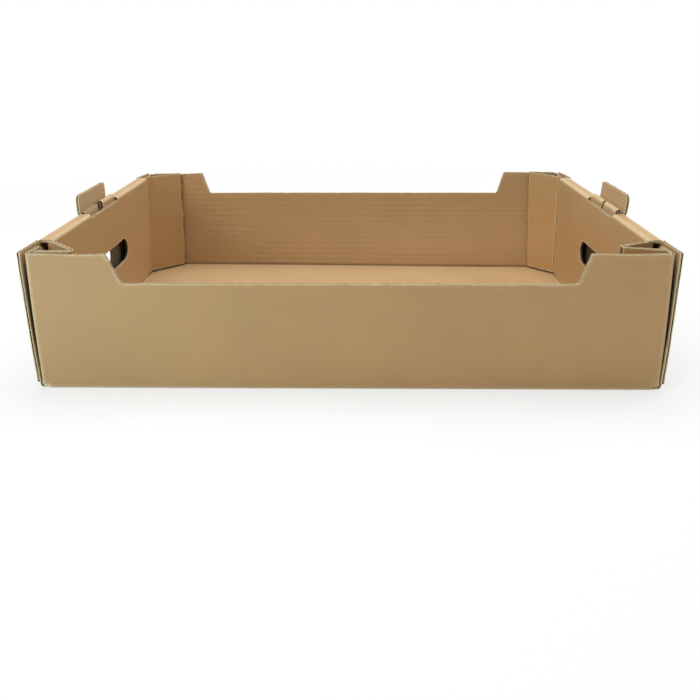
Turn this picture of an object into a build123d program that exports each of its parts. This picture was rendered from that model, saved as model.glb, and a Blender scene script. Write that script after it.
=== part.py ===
"""Open produce tray folded from one sheet of corrugated board, with hollow end walls and corner posts.

Frame: origin at the middle of the underside, X along the tray, Y from front to rear, Z up; millimetres.
"""
import os
from math import cos, radians, sin

from build123d import *

# Board
board = 3.0             # thickness of the corrugated board, measured level
slip = 0.3              # gap between layers that lie against each other
fold_inner = 0.6        # inside radius of the folds
floor_gap = 0.8         # height at which loose lower edges stand over the floor

# Tray
end_half_floor = 293.5  # centre to the outer face of an end wall, at the underside
end_flare = 5.7         # distance by which an end wall leans out over its height
side_half_top = 200.0   # centre to the outer face of the front or rear wall, at its top edge
front_flare = 5.0       # distance by which the front wall leans out over its height
rear_flare = 14.0       # the same for the rear wall, which leans out further
end_height = 137.0      # height of the flat strips on top of the end walls
side_step = 1.0         # height by which the front and rear walls stay under the strips

# Wide cut in the top edge of the front and rear walls
notch_top = 433.2       # width of the cut at the top edge
notch_bottom = 413.4    # width of the cut at its foot
notch_depth = 29.4
notch_round = 4.0

# Hollow end walls
strip_gap = 4.0         # distance between the end of a strip and the fold of the post beside it
tab_length = 90.0
tab_shift = -9.0        # offset of the tab from the middle of the end wall
tab_rise = 20.5         # height of the stacking tab over the strip
tab_round = 5.0
tab_neck = 1.0          # length by which the opening in the strip is shorter than the tab, at each end
strip_drop = 4.0        # depth by which the opening also lowers the inner panel
hand_length = 106.0
hand_height = 27.0
hand_middle = 68.0      # height of the middle of the hand hole
lock_length = 46.0      # tongues under the inner panel, held in slots of the floor
lock_offset = 104.0     # middle of the end wall to the middle of such a tongue
slot_spare = 3.0        # spare length of the stacking slot at each end of a tab
slot_height = 23.0      # height of the stacking slot in the outer panel

# Flaps of the front and rear walls, tucked into the end walls
flap_gap_top = 4.3      # gap between the outer panel and the top of a flap
flap_gap_floor = 0.4    # the same at the underside
flap_play = 1.5         # gap between a flap and the inner panel
flap_meet = 6.0         # gap between the ends of two flaps in one end wall
flap_shoulder = 27.0    # length of the high part of a flap beside its fold
flap_round = 8.0
flap_drop = 17.0        # height of the strip over a flap inside the end wall
flap_hand_room = 4.0    # distance kept between a flap and the hand hole
tongue_length = 38.0    # tongue on the end of a flap, standing in the opening of the strip
tongue_peak = 1.4       # height over the strip at which a tongue would have its sharp corner
tongue_slope = 29.0     # angle of its rolled lip below the level, in degrees
tongue_bend = 2.0       # inside radius of the roll
tongue_reach = 2.25     # length of the lip from the sharp corner, for each length of the roll's radius

# Corner posts on the ends of the inner panels
post_front_left = 36.0  # run of the slanted flap along X at the front left corner
post_front_right = 38.5  # the same at the front right corner
post_rear_left = 42.0   # the same at the rear left corner
post_rear_right = 39.0  # the same at the rear right corner
post_front_depth = 37.0  # outer face of the front wall to the fold between inner panel and post
post_rear_depth = 44.0  # the same from the rear wall
post_rise = 0.6         # height of the post over the strip
post_spare = 3.0        # distance between the free edge of a post and the flap in its corner
post_sprung = 13.0      # distance by which the front right post has sprung off the wall
post_settle = 0.35      # share of that distance left at the free edge of the post

# Places shared by several panels
half = board / 2
fold_outer = board + fold_inner
fold_room = 2 * fold_outer
side_height = end_height - side_step
front_half_floor = side_half_top - front_flare
rear_half_floor = side_half_top - rear_flare
middle = (rear_half_floor - front_half_floor) / 2
end_half_top = end_half_floor + end_flare
flap_half_floor = end_half_floor - board - flap_gap_floor
flap_half_top = end_half_top - board - flap_gap_top
flap_top = end_height - flap_drop
tongue_lip = tongue_reach * (tongue_bend + half)
tab_middle = middle + tab_shift
tab_front = tab_middle - tab_length / 2
tab_rear = tab_middle + tab_length / 2
slot_half = tab_length / 2 + slot_spare
loose_foot = board + floor_gap
strip_foot = end_height - fold_room
post_top = end_height + post_rise
end_lean = end_flare / end_height
flap_lean = (flap_half_top - flap_half_floor) / side_height
side_leans = {-1: front_flare / side_height, 1: rear_flare / side_height}
side_feet = {-1: front_half_floor, 1: rear_half_floor}
post_depths = {-1: post_front_depth, 1: post_rear_depth}


def end_x(z):
    """Distance from the centre to the outer face of the end wall at the height z."""
    return end_half_floor + end_lean * z


def side_y(side, z):
    """Distance from the centre to the outer face of the front or rear wall at the height z."""
    return side_feet[side] + side_leans[side] * z


def flap_x(z):
    """Distance from the centre to the outer face of a tucked flap at the height z."""
    return flap_half_floor + flap_lean * z


def inner_x(z):
    """Distance from the centre to the visible face of the inner panel at the height z."""
    return flap_x(z) - 2 * board - flap_play


def root_y(side, z):
    """Place along Y of the fold between the inner panel and a post at the height z."""
    return side * (side_y(side, z) - post_depths[side])


strip_front = root_y(-1, end_height) + strip_gap
strip_rear = root_y(1, end_height) - strip_gap


def ribbon(path):
    """Gives the outline of board along a path, and its corners outside and inside the folds."""
    points = [Vector(*spot) for spot in path]
    runs = [(after - before).normalized() for before, after in zip(points, points[1:])]
    sides = [Vector(-run.Y, run.X) for run in runs]
    left = [points[0] + sides[0] * half]
    right = [points[0] - sides[0] * half]
    outer = []
    inner = []
    for spot, before, after in zip(points[1:], sides, sides[1:]):
        offset = (before + after) * (half / (1 + before.dot(after)))
        left.append(spot + offset)
        right.append(spot - offset)
        turns_left = before.cross(after).Z > 0
        outer.append(right[-1] if turns_left else left[-1])
        inner.append(left[-1] if turns_left else right[-1])
    left.append(points[-1] + sides[-1] * half)
    right.append(points[-1] - sides[-1] * half)
    return left + right[::-1], outer, inner


def folded(plane, corners, outer, inner, reach, direction=None, bend=fold_inner):
    """Makes folded board from its section, both ways from the plane or one way along a direction."""
    with BuildPart(mode=Mode.PRIVATE) as piece:
        with BuildSketch(plane) as section:
            with BuildLine():
                Polyline(*[Vector(*corner) for corner in corners], close=True)
            make_face()
            for spot in outer:
                fillet(section.vertices().sort_by_distance(spot)[0], bend + board)
            for spot in inner:
                fillet(section.vertices().sort_by_distance(spot)[0], bend)
        if direction is None:
            extrude(amount=reach, both=True)
        else:
            extrude(amount=reach, dir=direction)
    return piece.part


def prism(plane, corners, reach, rounded=(), radius=0.0):
    """Makes a straight block from its outline, both ways from the plane, with some corners rounded."""
    with BuildPart(mode=Mode.PRIVATE) as piece:
        with BuildSketch(plane) as outline:
            with BuildLine():
                Polyline(*corners, close=True)
            make_face()
            for spot in rounded:
                fillet(outline.vertices().sort_by_distance(spot)[0], radius)
        extrude(amount=reach, both=True)
    return piece.part


def slab(end, face, low, high):
    """Makes a long upright board whose outer face stands at the distance that face gives for a height."""
    corners = [
        (end * face(low), low),
        (end * face(high), high),
        (end * (face(high) - board), high),
        (end * (face(low) - board), low),
    ]
    return prism(Plane.XZ, corners, 2 * side_half_top)


def cut_out(end, corners, rounded=(), radius=0.0):
    """Makes the block inside an outline in Y and Z that crosses one end wall."""
    return prism(Plane.YZ.offset(end * end_half_floor), corners, end_half_floor / 2, rounded, radius)


def hand_block(end, room):
    """Makes the block that the hand hole of one end takes away, larger all round by the room."""
    with BuildPart(mode=Mode.PRIVATE) as piece:
        with BuildSketch(Plane.YZ.offset(end * end_half_floor)):
            with Locations((middle, hand_middle)):
                SlotOverall(hand_length + 2 * room, hand_height + 2 * room)
        extrude(amount=10 * board, both=True)
    return piece.part


def side_wall(side):
    """Makes the front or rear wall with its fold at the floor, longer than the finished wall."""
    foot_out = (side * side_y(side, 0), 0)
    foot_in = (side * (side_y(side, board) - board), board)
    section = [
        (side * side_half_top / 2, 0),
        foot_out,
        (side * side_half_top, side_height),
        (side * (side_half_top - board), side_height),
        foot_in,
        (side * side_half_top / 2, board),
    ]
    return folded(Plane.YZ, section, [foot_out], [foot_in], flap_half_top)


def wall_corner(end, side):
    """Makes the upright fold between the front or rear wall and one of its flaps."""
    corner_x = flap_x(loose_foot) - half
    corner_y = side_y(side, loose_foot) - half
    path = [
        (end * (corner_x - 2 * fold_room), side * corner_y),
        (end * corner_x, side * corner_y),
        (end * corner_x, side * (corner_y - 2 * fold_room)),
    ]
    corners, outer, inner = ribbon(path)
    rise = Vector(end * flap_lean, side * side_leans[side], 1)
    reach = (side_height - loose_foot) * rise.length
    return folded(Plane.XY.offset(loose_foot), corners, outer, inner, reach, rise)


def outer_panel(end):
    """Makes the outer panel of an end wall with its floor fold, its tab and its two upright edges."""
    tip = end_height + tab_rise
    foot_out = (end * end_half_floor, 0)
    foot_in = (end * (end_x(board) - board), board)
    section = [
        (end * (end_half_floor - 2 * fold_room), 0),
        foot_out,
        (end * end_x(tip), tip),
        (end * (end_x(tip) - board), tip),
        foot_in,
        (end * (end_half_floor - 2 * fold_room), board),
    ]
    long_panel = folded(Plane.XZ, section, [foot_out], [foot_in], side_half_top + board)
    front = -side_y(-1, 0) + fold_outer
    rear = side_y(1, 0) - fold_outer
    outline = [
        (front, -board),
        (front, fold_room),
        (-side_y(-1, fold_room), fold_room),
        (-side_y(-1, end_height), end_height),
        (strip_front, end_height),
        (strip_front, strip_foot),
        (tab_front, strip_foot),
        (tab_front, tip),
        (tab_rear, tip),
        (tab_rear, strip_foot),
        (strip_rear, strip_foot),
        (strip_rear, end_height),
        (side_y(1, end_height), end_height),
        (side_y(1, fold_room), fold_room),
        (rear, fold_room),
        (rear, -board),
    ]
    return long_panel & cut_out(end, outline, [(tab_front, tip), (tab_rear, tip)], tab_round)


def strip(end):
    """Makes the strip on top of an end wall with the folds on both sides of it."""
    under = end_height - board
    low = strip_foot - board
    top_out = (end * end_half_top, end_height)
    top_in = (end * inner_x(end_height), end_height)
    under_out = (end * (end_x(under) - board), under)
    under_in = (end * (inner_x(under) + board), under)
    section = [
        (end * end_x(low), low),
        top_out,
        top_in,
        (end * inner_x(low), low),
        (end * (inner_x(low) + board), low),
        under_in,
        under_out,
        (end * (end_x(low) - board), low),
    ]
    centre = Plane.XZ.offset(-(strip_front + strip_rear) / 2)
    reach = (strip_rear - strip_front) / 2
    return folded(centre, section, [top_out, top_in], [under_in, under_out], reach)


def inner_panel(end):
    """Makes the inner panel of an end wall with the tongues that lock it into the floor."""
    foot = board + slip
    outline = [
        (root_y(-1, strip_foot) + fold_room, strip_foot),
        (root_y(-1, foot) + fold_room, foot),
    ]
    for place in (middle - lock_offset, middle + lock_offset):
        outline.append((place - lock_length / 2, foot))
        outline.append((place - lock_length / 2, slip))
        outline.append((place + lock_length / 2, slip))
        outline.append((place + lock_length / 2, foot))
    outline.append((root_y(1, foot) - fold_room, foot))
    outline.append((root_y(1, strip_foot) - fold_room, strip_foot))
    return slab(end, lambda z: inner_x(z) + board, 0, end_height) & cut_out(end, outline)


def flap(end, side):
    """Makes one flap of the front or rear wall, tucked into an end wall."""
    shoulder = (side * (side_half_top - flap_shoulder), side_height)
    root = fold_room + half
    outline = [
        (side * (side_y(side, loose_foot) - root), loose_foot),
        (side * (side_half_top - root), side_height),
        shoulder,
        (side * (side_half_top - flap_shoulder - flap_round), flap_top),
        (tab_middle + side * flap_meet / 2, flap_top),
        (tab_middle + side * flap_meet / 2, slot_height + floor_gap),
        (tab_middle + side * (slot_half + floor_gap), slot_height + floor_gap),
        (tab_middle + side * (slot_half + floor_gap), loose_foot),
    ]
    blank = slab(end, flap_x, 0, end_height) & cut_out(end, outline, [shoulder], flap_round)
    return blank - hand_block(end, flap_hand_room)


def tongue(end, side, lipped):
    """Makes the tongue on the end of a flap, upright or rolled over towards the inner panel."""
    root = flap_top - board
    crest = end_height + tongue_peak if lipped else end_height - slip
    crest_x = end_x(crest) - 3 * half - 3 * slip
    path = [(end * (flap_x(root) - half), root), (end * crest_x, crest)]
    if lipped:
        run = tongue_lip * cos(radians(tongue_slope))
        fall = tongue_lip * sin(radians(tongue_slope))
        path.append((end * (crest_x - run), crest - fall))
    corners, outer, inner = ribbon(path)
    centre = tab_middle + side * (flap_meet + tongue_length) / 2
    return folded(Plane.XZ.offset(-centre), corners, outer, inner, tongue_length / 2, bend=tongue_bend)


def post(end, side, run, sprung):
    """Makes a corner post: a slanted flap from the inner panel to the wall and a flap back along the wall."""
    inner = inner_x(loose_foot) + half
    wall = side_y(side, loose_foot) - 3 * half - slip
    root = root_y(side, loose_foot)
    path = [
        (end * inner, root - side * 2 * fold_room),
        (end * inner, root),
        (end * (inner - run), side * (wall - sprung)),
        (end * (flap_x(loose_foot) - board - post_spare), side * (wall - sprung * post_settle)),
    ]
    corners, outer_spots, inner_spots = ribbon(path)
    rise = Vector(end * flap_lean, side * side_leans[side], 1)
    reach = (post_top - loose_foot) * rise.length
    return folded(Plane.XY.offset(loose_foot), corners, outer_spots, inner_spots, reach, rise)


with BuildPart() as tray:
    # Floor, front wall and rear wall
    with Locations((0, middle, 0)):
        Box(
            2 * end_half_floor - 2 * fold_room,
            front_half_floor + rear_half_floor - 2 * fold_room,
            board,
            align=(Align.CENTER, Align.CENTER, Align.MIN),
        )
    add([side_wall(-1), side_wall(1)])

    # Ends of the front and rear walls, and the wide cut in their top edges
    trims = []
    for end in (-1, 1):
        beyond = [
            (end * (flap_x(-board) - fold_room), -board),
            (end * (flap_x(2 * side_height) - fold_room), 2 * side_height),
            (end * 2 * end_half_top, 2 * side_height),
            (end * 2 * end_half_top, -board),
        ]
        trims.append(prism(Plane.XZ, beyond, 2 * side_half_top))
    notch_foot = side_height - notch_depth
    notch_over = notch_top - notch_bottom / 2
    notch = [
        (-notch_bottom / 2, notch_foot),
        (notch_bottom / 2, notch_foot),
        (notch_over, side_height + notch_depth),
        (-notch_over, side_height + notch_depth),
    ]
    trims.append(prism(Plane.XZ, notch, 2 * side_half_top, notch[:2], notch_round))
    add(trims, mode=Mode.SUBTRACT)

    # End walls, and the openings in them
    for end in (-1, 1):
        add([outer_panel(end), strip(end)])
    cuts = []
    for end in (-1, 1):
        low = end_height - strip_drop
        high = end_height + board
        opening = [
            (end * (inner_x(low) - board), low),
            (end * (end_x(low) - board), low),
            (end * (end_x(high) - board), high),
            (end * (inner_x(low) - board), high),
        ]
        cuts.append(prism(Plane.XZ.offset(-tab_middle), opening, tab_length / 2 - tab_neck))
        slot = [
            (tab_middle - slot_half, -board),
            (tab_middle - slot_half, slot_height),
            (tab_middle + slot_half, slot_height),
            (tab_middle + slot_half, -board),
        ]
        beside = inner_x(0) + board + slip
        cuts.append(prism(Plane.YZ.offset(end * (beside + 2 * fold_room)), slot, 2 * fold_room))
        for place in (middle - lock_offset, middle + lock_offset):
            with Locations((end * (inner_x(half) + half), place, half)):
                cuts.append(Box(board + 3 * slip, lock_length + 3 * slip, 2 * board, mode=Mode.PRIVATE))
    add(cuts, mode=Mode.SUBTRACT)

    # Inner panels, tucked flaps and corner posts
    pieces = []
    for end in (-1, 1):
        pieces.append(inner_panel(end))
        for side in (-1, 1):
            pieces.append(flap(end, side))
            pieces.append(wall_corner(end, side))
            pieces.append(tongue(end, side, end > 0 or side > 0))
    pieces.append(post(-1, -1, post_front_left, 0))
    pieces.append(post(1, -1, post_front_right, post_sprung))
    pieces.append(post(-1, 1, post_rear_left, 0))
    pieces.append(post(1, 1, post_rear_right, 0))
    add(pieces)

    # Hand holes through both panels of the end walls
    add([hand_block(-1, 0), hand_block(1, 0)], mode=Mode.SUBTRACT)

tray.part.label = "tray"
os.makedirs("parts", exist_ok=True)
export_step(tray.part, "parts/tray.step")
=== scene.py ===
"""Dresses the folded produce tray as fluted corrugated board and stages it for its photograph.

The board is modelled as what it is: two kraft liners with a wavy paper between them, cut to the outline of
each panel and bent round its folds. Lengths are millimetres in the tray's own frame until a mesh is written.
"""
import logging
import math
from bisect import bisect_left
from collections.abc import Callable, Sequence
from dataclasses import dataclass, field
from enum import Enum
from typing import Any, ClassVar

import bmesh
import bpy
import numpy as np
from mathutils import Matrix, Vector, geometry, noise


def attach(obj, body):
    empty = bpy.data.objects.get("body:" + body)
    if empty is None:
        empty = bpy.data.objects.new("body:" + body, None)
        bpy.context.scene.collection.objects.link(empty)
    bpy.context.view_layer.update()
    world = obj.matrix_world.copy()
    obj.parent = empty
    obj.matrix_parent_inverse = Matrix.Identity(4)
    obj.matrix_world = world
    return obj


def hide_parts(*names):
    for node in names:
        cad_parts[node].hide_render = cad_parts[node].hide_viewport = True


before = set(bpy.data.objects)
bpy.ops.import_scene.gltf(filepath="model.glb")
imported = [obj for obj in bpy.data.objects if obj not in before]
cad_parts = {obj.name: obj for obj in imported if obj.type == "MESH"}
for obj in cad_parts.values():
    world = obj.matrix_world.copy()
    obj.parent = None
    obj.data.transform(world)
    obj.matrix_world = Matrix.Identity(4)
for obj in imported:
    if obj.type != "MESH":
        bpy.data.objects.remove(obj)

LOG = logging.getLogger("tray")
MM = 0.001
NODE = "tray"
LAYERS = ("across", "along", "edge", "crease", "slit", "shade")
WHITE = (1.0, 1.0, 1.0, 1.0)
FAR = 1e9
TINY = 1e-12
Spot = tuple[float, float]
Triple = tuple[float, float, float]
Tint = tuple[int, int, int]
Colour = tuple[float, float, float, float]
Socket = bpy.types.NodeSocket
Number = float | Socket
Paint = Colour | Socket


class FluteRun(Enum):
    """Way in which the flutes of a strip of board run."""

    ALONG = "along its path"
    ACROSS = "across its path"


class Skin(Enum):
    """Surfaces of the board, in the order of a piece's material slots."""

    OUTSIDE = 0
    INSIDE = 1
    CUT = 2
    FLUTE = 3


@dataclass(frozen=True)
class Board:
    """Corrugated board: its layers and the way it bends.

    Args:
        thick: Thickness of the board.
        liner: Thickness of each liner, with the fibres that a cut presses into it.
        medium: Thickness of the wavy paper.
        pitch: Distance from flute to flute.
        fold_inner: Inside radius of a fold.
        open_depth: Depth to which a cut edge is open between its liners.
        ragged: Largest distance by which a cut edge wanders.
    """

    thick: float = 3.0
    liner: float = 0.6
    medium: float = 0.32
    pitch: float = 7.8
    fold_inner: float = 0.6
    open_depth: float = 7.0
    ragged: float = 0.22

    @property
    def half(self) -> float:
        """Half the thickness."""
        return self.thick / 2

    @property
    def fold_middle(self) -> float:
        """Radius of the middle of the board in a fold."""
        return self.fold_inner + self.half

    @property
    def fold_outer(self) -> float:
        """Outside radius of a fold."""
        return self.fold_inner + self.thick

    @property
    def wave(self) -> float:
        """Height of the flutes' wave on either side of the middle."""
        return self.half - self.liner - self.medium / 2


@dataclass(frozen=True)
class TraySizes:
    """Sizes of the folded tray in millimetres, grouped by the panel that they belong to."""

    board: Board = Board()
    # Play between two layers, and how far loose lower edges stand off the floor
    slip: float = 0.3
    floor_gap: float = 2.0
    panel_gap: float = 3.0
    # Radii of small corners, and what a full round is short of its width
    nick_round: float = 1.0
    lip_round: float = 1.2
    slot_round: float = 1.5
    tuck_round: float = 2.0
    round_trim: float = 0.01
    round_ease: float = 0.5
    # Floor, end walls, and front and rear walls
    floor_seam: float = 270.0
    end_half_floor: float = 293.5
    end_flare: float = 5.7
    side_half_top: float = 200.0
    front_flare: float = 5.0
    rear_flare: float = 14.0
    end_height: float = 137.0
    side_step: float = 1.0
    # Notches in the front and rear walls
    notch_top: float = 433.2
    notch_bottom: float = 413.4
    notch_depth: float = 29.4
    notch_round: float = 4.0
    # Strip on top of an end wall, and the tab that stands in its opening
    strip_gap: float = 4.0
    strip_drop: float = 4.0
    tab_length: float = 90.0
    tab_shift: float = -9.0
    tab_rise: float = 20.5
    tab_round: float = 5.0
    tab_neck: float = 1.0
    tab_short: float = 8.5
    # Hand holes, lock tongues under the inner panels, and slots for the tabs of a tray beneath
    hand_length: float = 106.0
    hand_height: float = 27.0
    hand_middle: float = 68.0
    lock_length: float = 46.0
    lock_offset: float = 104.0
    slot_spare: float = 3.0
    slot_height: float = 23.0
    # Tucked flaps and their tongues
    flap_gap_top: float = 4.3
    flap_gap_floor: float = 0.4
    flap_play: float = 1.5
    flap_meet: float = 6.0
    flap_shoulder: float = 27.0
    flap_round: float = 8.0
    flap_drop: float = 17.0
    flap_hand_room: float = 12.0
    tongue_length: float = 38.0
    tongue_peak: float = 3.6
    tongue_upright: float = 2.0
    tongue_bend: float = 0.8
    tongue_reach: float = 4.7
    tongue_fall: float = 0.8
    tongue_tuck: float = 3.0
    # Corner posts
    post_front_depth: float = 37.0
    post_rear_depth: float = 44.0
    post_rise: float = 0.6
    post_spare: float = 3.0
    post_settle: float = 0.35
    # Depth below the mouth of a hollow end wall at which its painted shade is full
    shade_depth: float = 30.0

    @property
    def crown(self) -> float:
        """Height of the middle of the board in the strips."""
        return self.end_height - self.board.half

    @property
    def lock_play(self) -> float:
        """Room round a lock tongue in its slot."""
        return 1.5 * self.slip

    @property
    def side_height(self) -> float:
        """Height of the front and rear walls at the corners."""
        return self.end_height - self.side_step

    @property
    def middle(self) -> float:
        """Place along Y of the middle of the floor."""
        return (self.front_flare - self.rear_flare) / 2

    @property
    def tab_middle(self) -> float:
        """Place along Y of the middle of a tab."""
        return self.middle + self.tab_shift

    @property
    def loose_foot(self) -> float:
        """Height of the lower edges that stand loose over the floor."""
        return self.board.thick + self.floor_gap

    @property
    def panel_foot(self) -> float:
        """Height of the lower edges of the inner panels and posts."""
        return self.board.thick + self.panel_gap

    @property
    def fold_room(self) -> float:
        """Room that a panel leaves beside a fold."""
        return 2 * self.board.fold_outer

    @property
    def flap_lean(self) -> float:
        """Lean of the tucked flaps and inner panels, along X for each length of height."""
        gap = self.flap_gap_top - self.flap_gap_floor
        return (self.end_flare - gap) / self.side_height

    def side_flare(self, side: int) -> float:
        """How far the front (-1) or rear (1) wall leans out over its height."""
        return self.front_flare if side < 0 else self.rear_flare

    def side_lean(self, side: int) -> float:
        """Lean of the front (-1) or rear (1) wall, along Y for each length of height."""
        return self.side_flare(side) / self.side_height

    def end_x(self, z: float) -> float:
        """Distance from the centre to the outer face of an end wall at a height."""
        return self.end_half_floor + self.end_flare * z / self.end_height

    def side_y(self, side: int, z: float) -> float:
        """Distance from the centre to the outer face of the front or rear wall at a height."""
        return self.side_half_top - self.side_flare(side) + self.side_lean(side) * z

    def flap_x(self, z: float) -> float:
        """Distance from the centre to the outer face of a tucked flap at a height."""
        return self.end_half_floor - self.board.thick - self.flap_gap_floor + self.flap_lean * z

    def inner_x(self, z: float) -> float:
        """Distance from the centre to the visible face of an inner panel at a height."""
        return self.flap_x(z) - 2 * self.board.thick - self.flap_play

    def hollow(self, place: Vector) -> float:
        """How deep a place lies in the hollow of an end wall, which sets the painted shade there.

        Args:
            place: Place in the tray's frame.

        Returns:
            0 outside the hollow and at its mouth, 1 well inside it.
        """
        outer = self.end_x(place.z) - self.board.half
        inner = self.inner_x(place.z) + self.board.half
        front = self.board.thick - self.side_y(-1, place.z)
        rear = self.side_y(1, place.z) - self.board.thick
        if not (inner < abs(place.x) < outer and front < place.y < rear):
            return 0.0
        below, above = self.end_height - place.z, place.z - 2 * self.board.thick
        return min(max(min(below / self.shade_depth, above / self.fold_room), 0.0), 1.0)

    def root_y(self, side: int, z: float) -> float:
        """Place along Y of the fold between an inner panel and a post at a height."""
        depth = self.post_front_depth if side < 0 else self.post_rear_depth
        return side * (self.side_y(side, z) - depth)

    def seam_y(self, side: int, z: float) -> float:
        """Place along Y where the inner panel's mesh ends and the post's begins."""
        return self.root_y(side, z) - side * self.strip_gap


def turn_between(before: Vector, after: Vector) -> float:
    """Angle from one flat direction to the next, positive to the left."""
    return math.atan2(before.x * after.y - before.y * after.x, before.dot(after))


class FoldPath:
    """Middle line of a strip of folded board: straight legs joined by round folds, in a plane of its own."""

    fold_steps: ClassVar[int] = 6
    crease_reach: ClassVar[float] = 1.0
    shade_reach: ClassVar[float] = 3.0
    slack: ClassVar[float] = 1e-9

    def __init__(self, points: Sequence[Spot], radius: float) -> None:
        """Sets the legs out along their length.

        Args:
            points: Ends of the path and the corners between them.
            radius: Radius of the folds at the corners.
        """
        self.points = [Vector(point) for point in points]
        self.runs = [(b - a).normalized() for a, b in zip(self.points, self.points[1:])]
        self.lengths = [(b - a).length for a, b in zip(self.points, self.points[1:])]
        self.turns = [turn_between(a, b) for a, b in zip(self.runs, self.runs[1:])]
        self.radius = radius
        self.trims = [0.0] + [radius * abs(math.tan(turn / 2)) for turn in self.turns] + [0.0]
        self.starts: list[float] = []
        self.folds: list[Spot] = []
        reach = 0.0
        for leg, length in enumerate(self.lengths):
            self.starts.append(reach)
            reach += length - self.trims[leg] - self.trims[leg + 1]
            if leg < len(self.turns):
                arc = radius * abs(self.turns[leg])
                self.folds.append((reach, reach + arc))
                reach += arc
        self.total = reach

    def spot(self, leg: int, distance: float) -> float:
        """Length along the path of a point on a leg.

        Args:
            leg: Number of the leg.
            distance: Distance from the corner where the leg starts.

        Returns:
            Length from the start of the path, kept to the straight stretch of the leg.
        """
        straight = self.lengths[leg] - self.trims[leg] - self.trims[leg + 1]
        return self.starts[leg] + min(max(distance - self.trims[leg], 0.0), straight)

    def along(self, leg: int, gone: float, whole: float) -> float:
        """Length along the path where a leg has covered a part of its whole rise or fall."""
        return self.spot(leg, self.lengths[leg] * gone / whole)

    def place(self, s: float) -> tuple[Vector, Vector]:
        """Finds a point on the path.

        Args:
            s: Length from the start of the path.

        Returns:
            The point and the unit normal to the left of the path there.
        """
        for fold, (low, high) in enumerate(self.folds):
            if low < s < high:
                sign = math.copysign(1.0, self.turns[fold])
                run = self.runs[fold]
                normal = Vector((-run.y, run.x))
                start = self.points[fold + 1] - run * self.trims[fold + 1]
                centre = start + normal * (sign * self.radius)
                angle = sign * (s - low) / self.radius
                turned = Matrix.Rotation(angle, 2) @ normal
                return centre - turned * (sign * self.radius), turned
        leg = max(i for i, start in enumerate(self.starts) if s >= start - self.slack or i == 0)
        run = self.runs[leg]
        point = self.points[leg] + run * (self.trims[leg] + s - self.starts[leg])
        return point, Vector((-run.y, run.x))

    def fold_normal(self, fold: int) -> Vector:
        """Unit normal to the left in the middle of a fold."""
        low, high = self.folds[fold]
        return self.place((low + high) / 2)[1]

    def crease(self, s: float, beside: float = crease_reach) -> float:
        """How near a point lies to the middle of a fold: 1 there, falling to 0 beside the fold.

        Args:
            s: Length along the path.
            beside: Distance from the fold's end at which it is 0.

        Returns:
            The largest value of the folds.
        """
        parts = [(abs(2 * s - low - high), high - low + 2 * beside) for low, high in self.folds]
        return max((1.0 - off / reach for off, reach in parts if off < reach), default=0.0)

    def slit(self, s: float, folds: Sequence[int], reach: float) -> float:
        """How near a point lies to the slits in the middle of some folds.

        Args:
            s: Length along the path.
            folds: Numbers of the folds with slits.
            reach: Distance from the fold's middle at which it is 0.

        Returns:
            1 at the middle of a fold, falling to 0.
        """
        gaps = [abs(s - sum(self.folds[fold]) / 2) for fold in folds]
        return max((1.0 - gap / reach for gap in gaps if gap < reach), default=0.0)

    def lines(self, step: float) -> list[float]:
        """Lengths along the path at which a mesh is cut.

        Args:
            step: Largest distance between two of them.

        Returns:
            Lengths in order, close in the folds and wider between them.
        """
        marks = [0.0, self.total]
        for low, high in self.folds:
            marks += [low + (high - low) * i / self.fold_steps for i in range(self.fold_steps + 1)]
            for beside in (self.crease_reach, self.shade_reach):
                marks += [low - beside, high + beside]
        marks = sorted(mark for mark in marks if 0.0 <= mark <= self.total)
        filled: list[float] = []
        for low, high in zip(marks, marks[1:]):
            count = max(1, math.ceil((high - low) / step))
            filled += [low + (high - low) * i / count for i in range(count)]
        return filled


@dataclass(frozen=True)
class Corner:
    """Corner of an outline on the board.

    Args:
        s: Length along the strip's path.
        t: Place along the direction in which the path is swept.
        radius: Radius to which the corner is rounded.
        raw: True if the edge from here to the next corner is a cut one, False if the board goes on there.
    """

    s: float
    t: float
    radius: float = 0.0
    raw: bool = True


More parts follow.
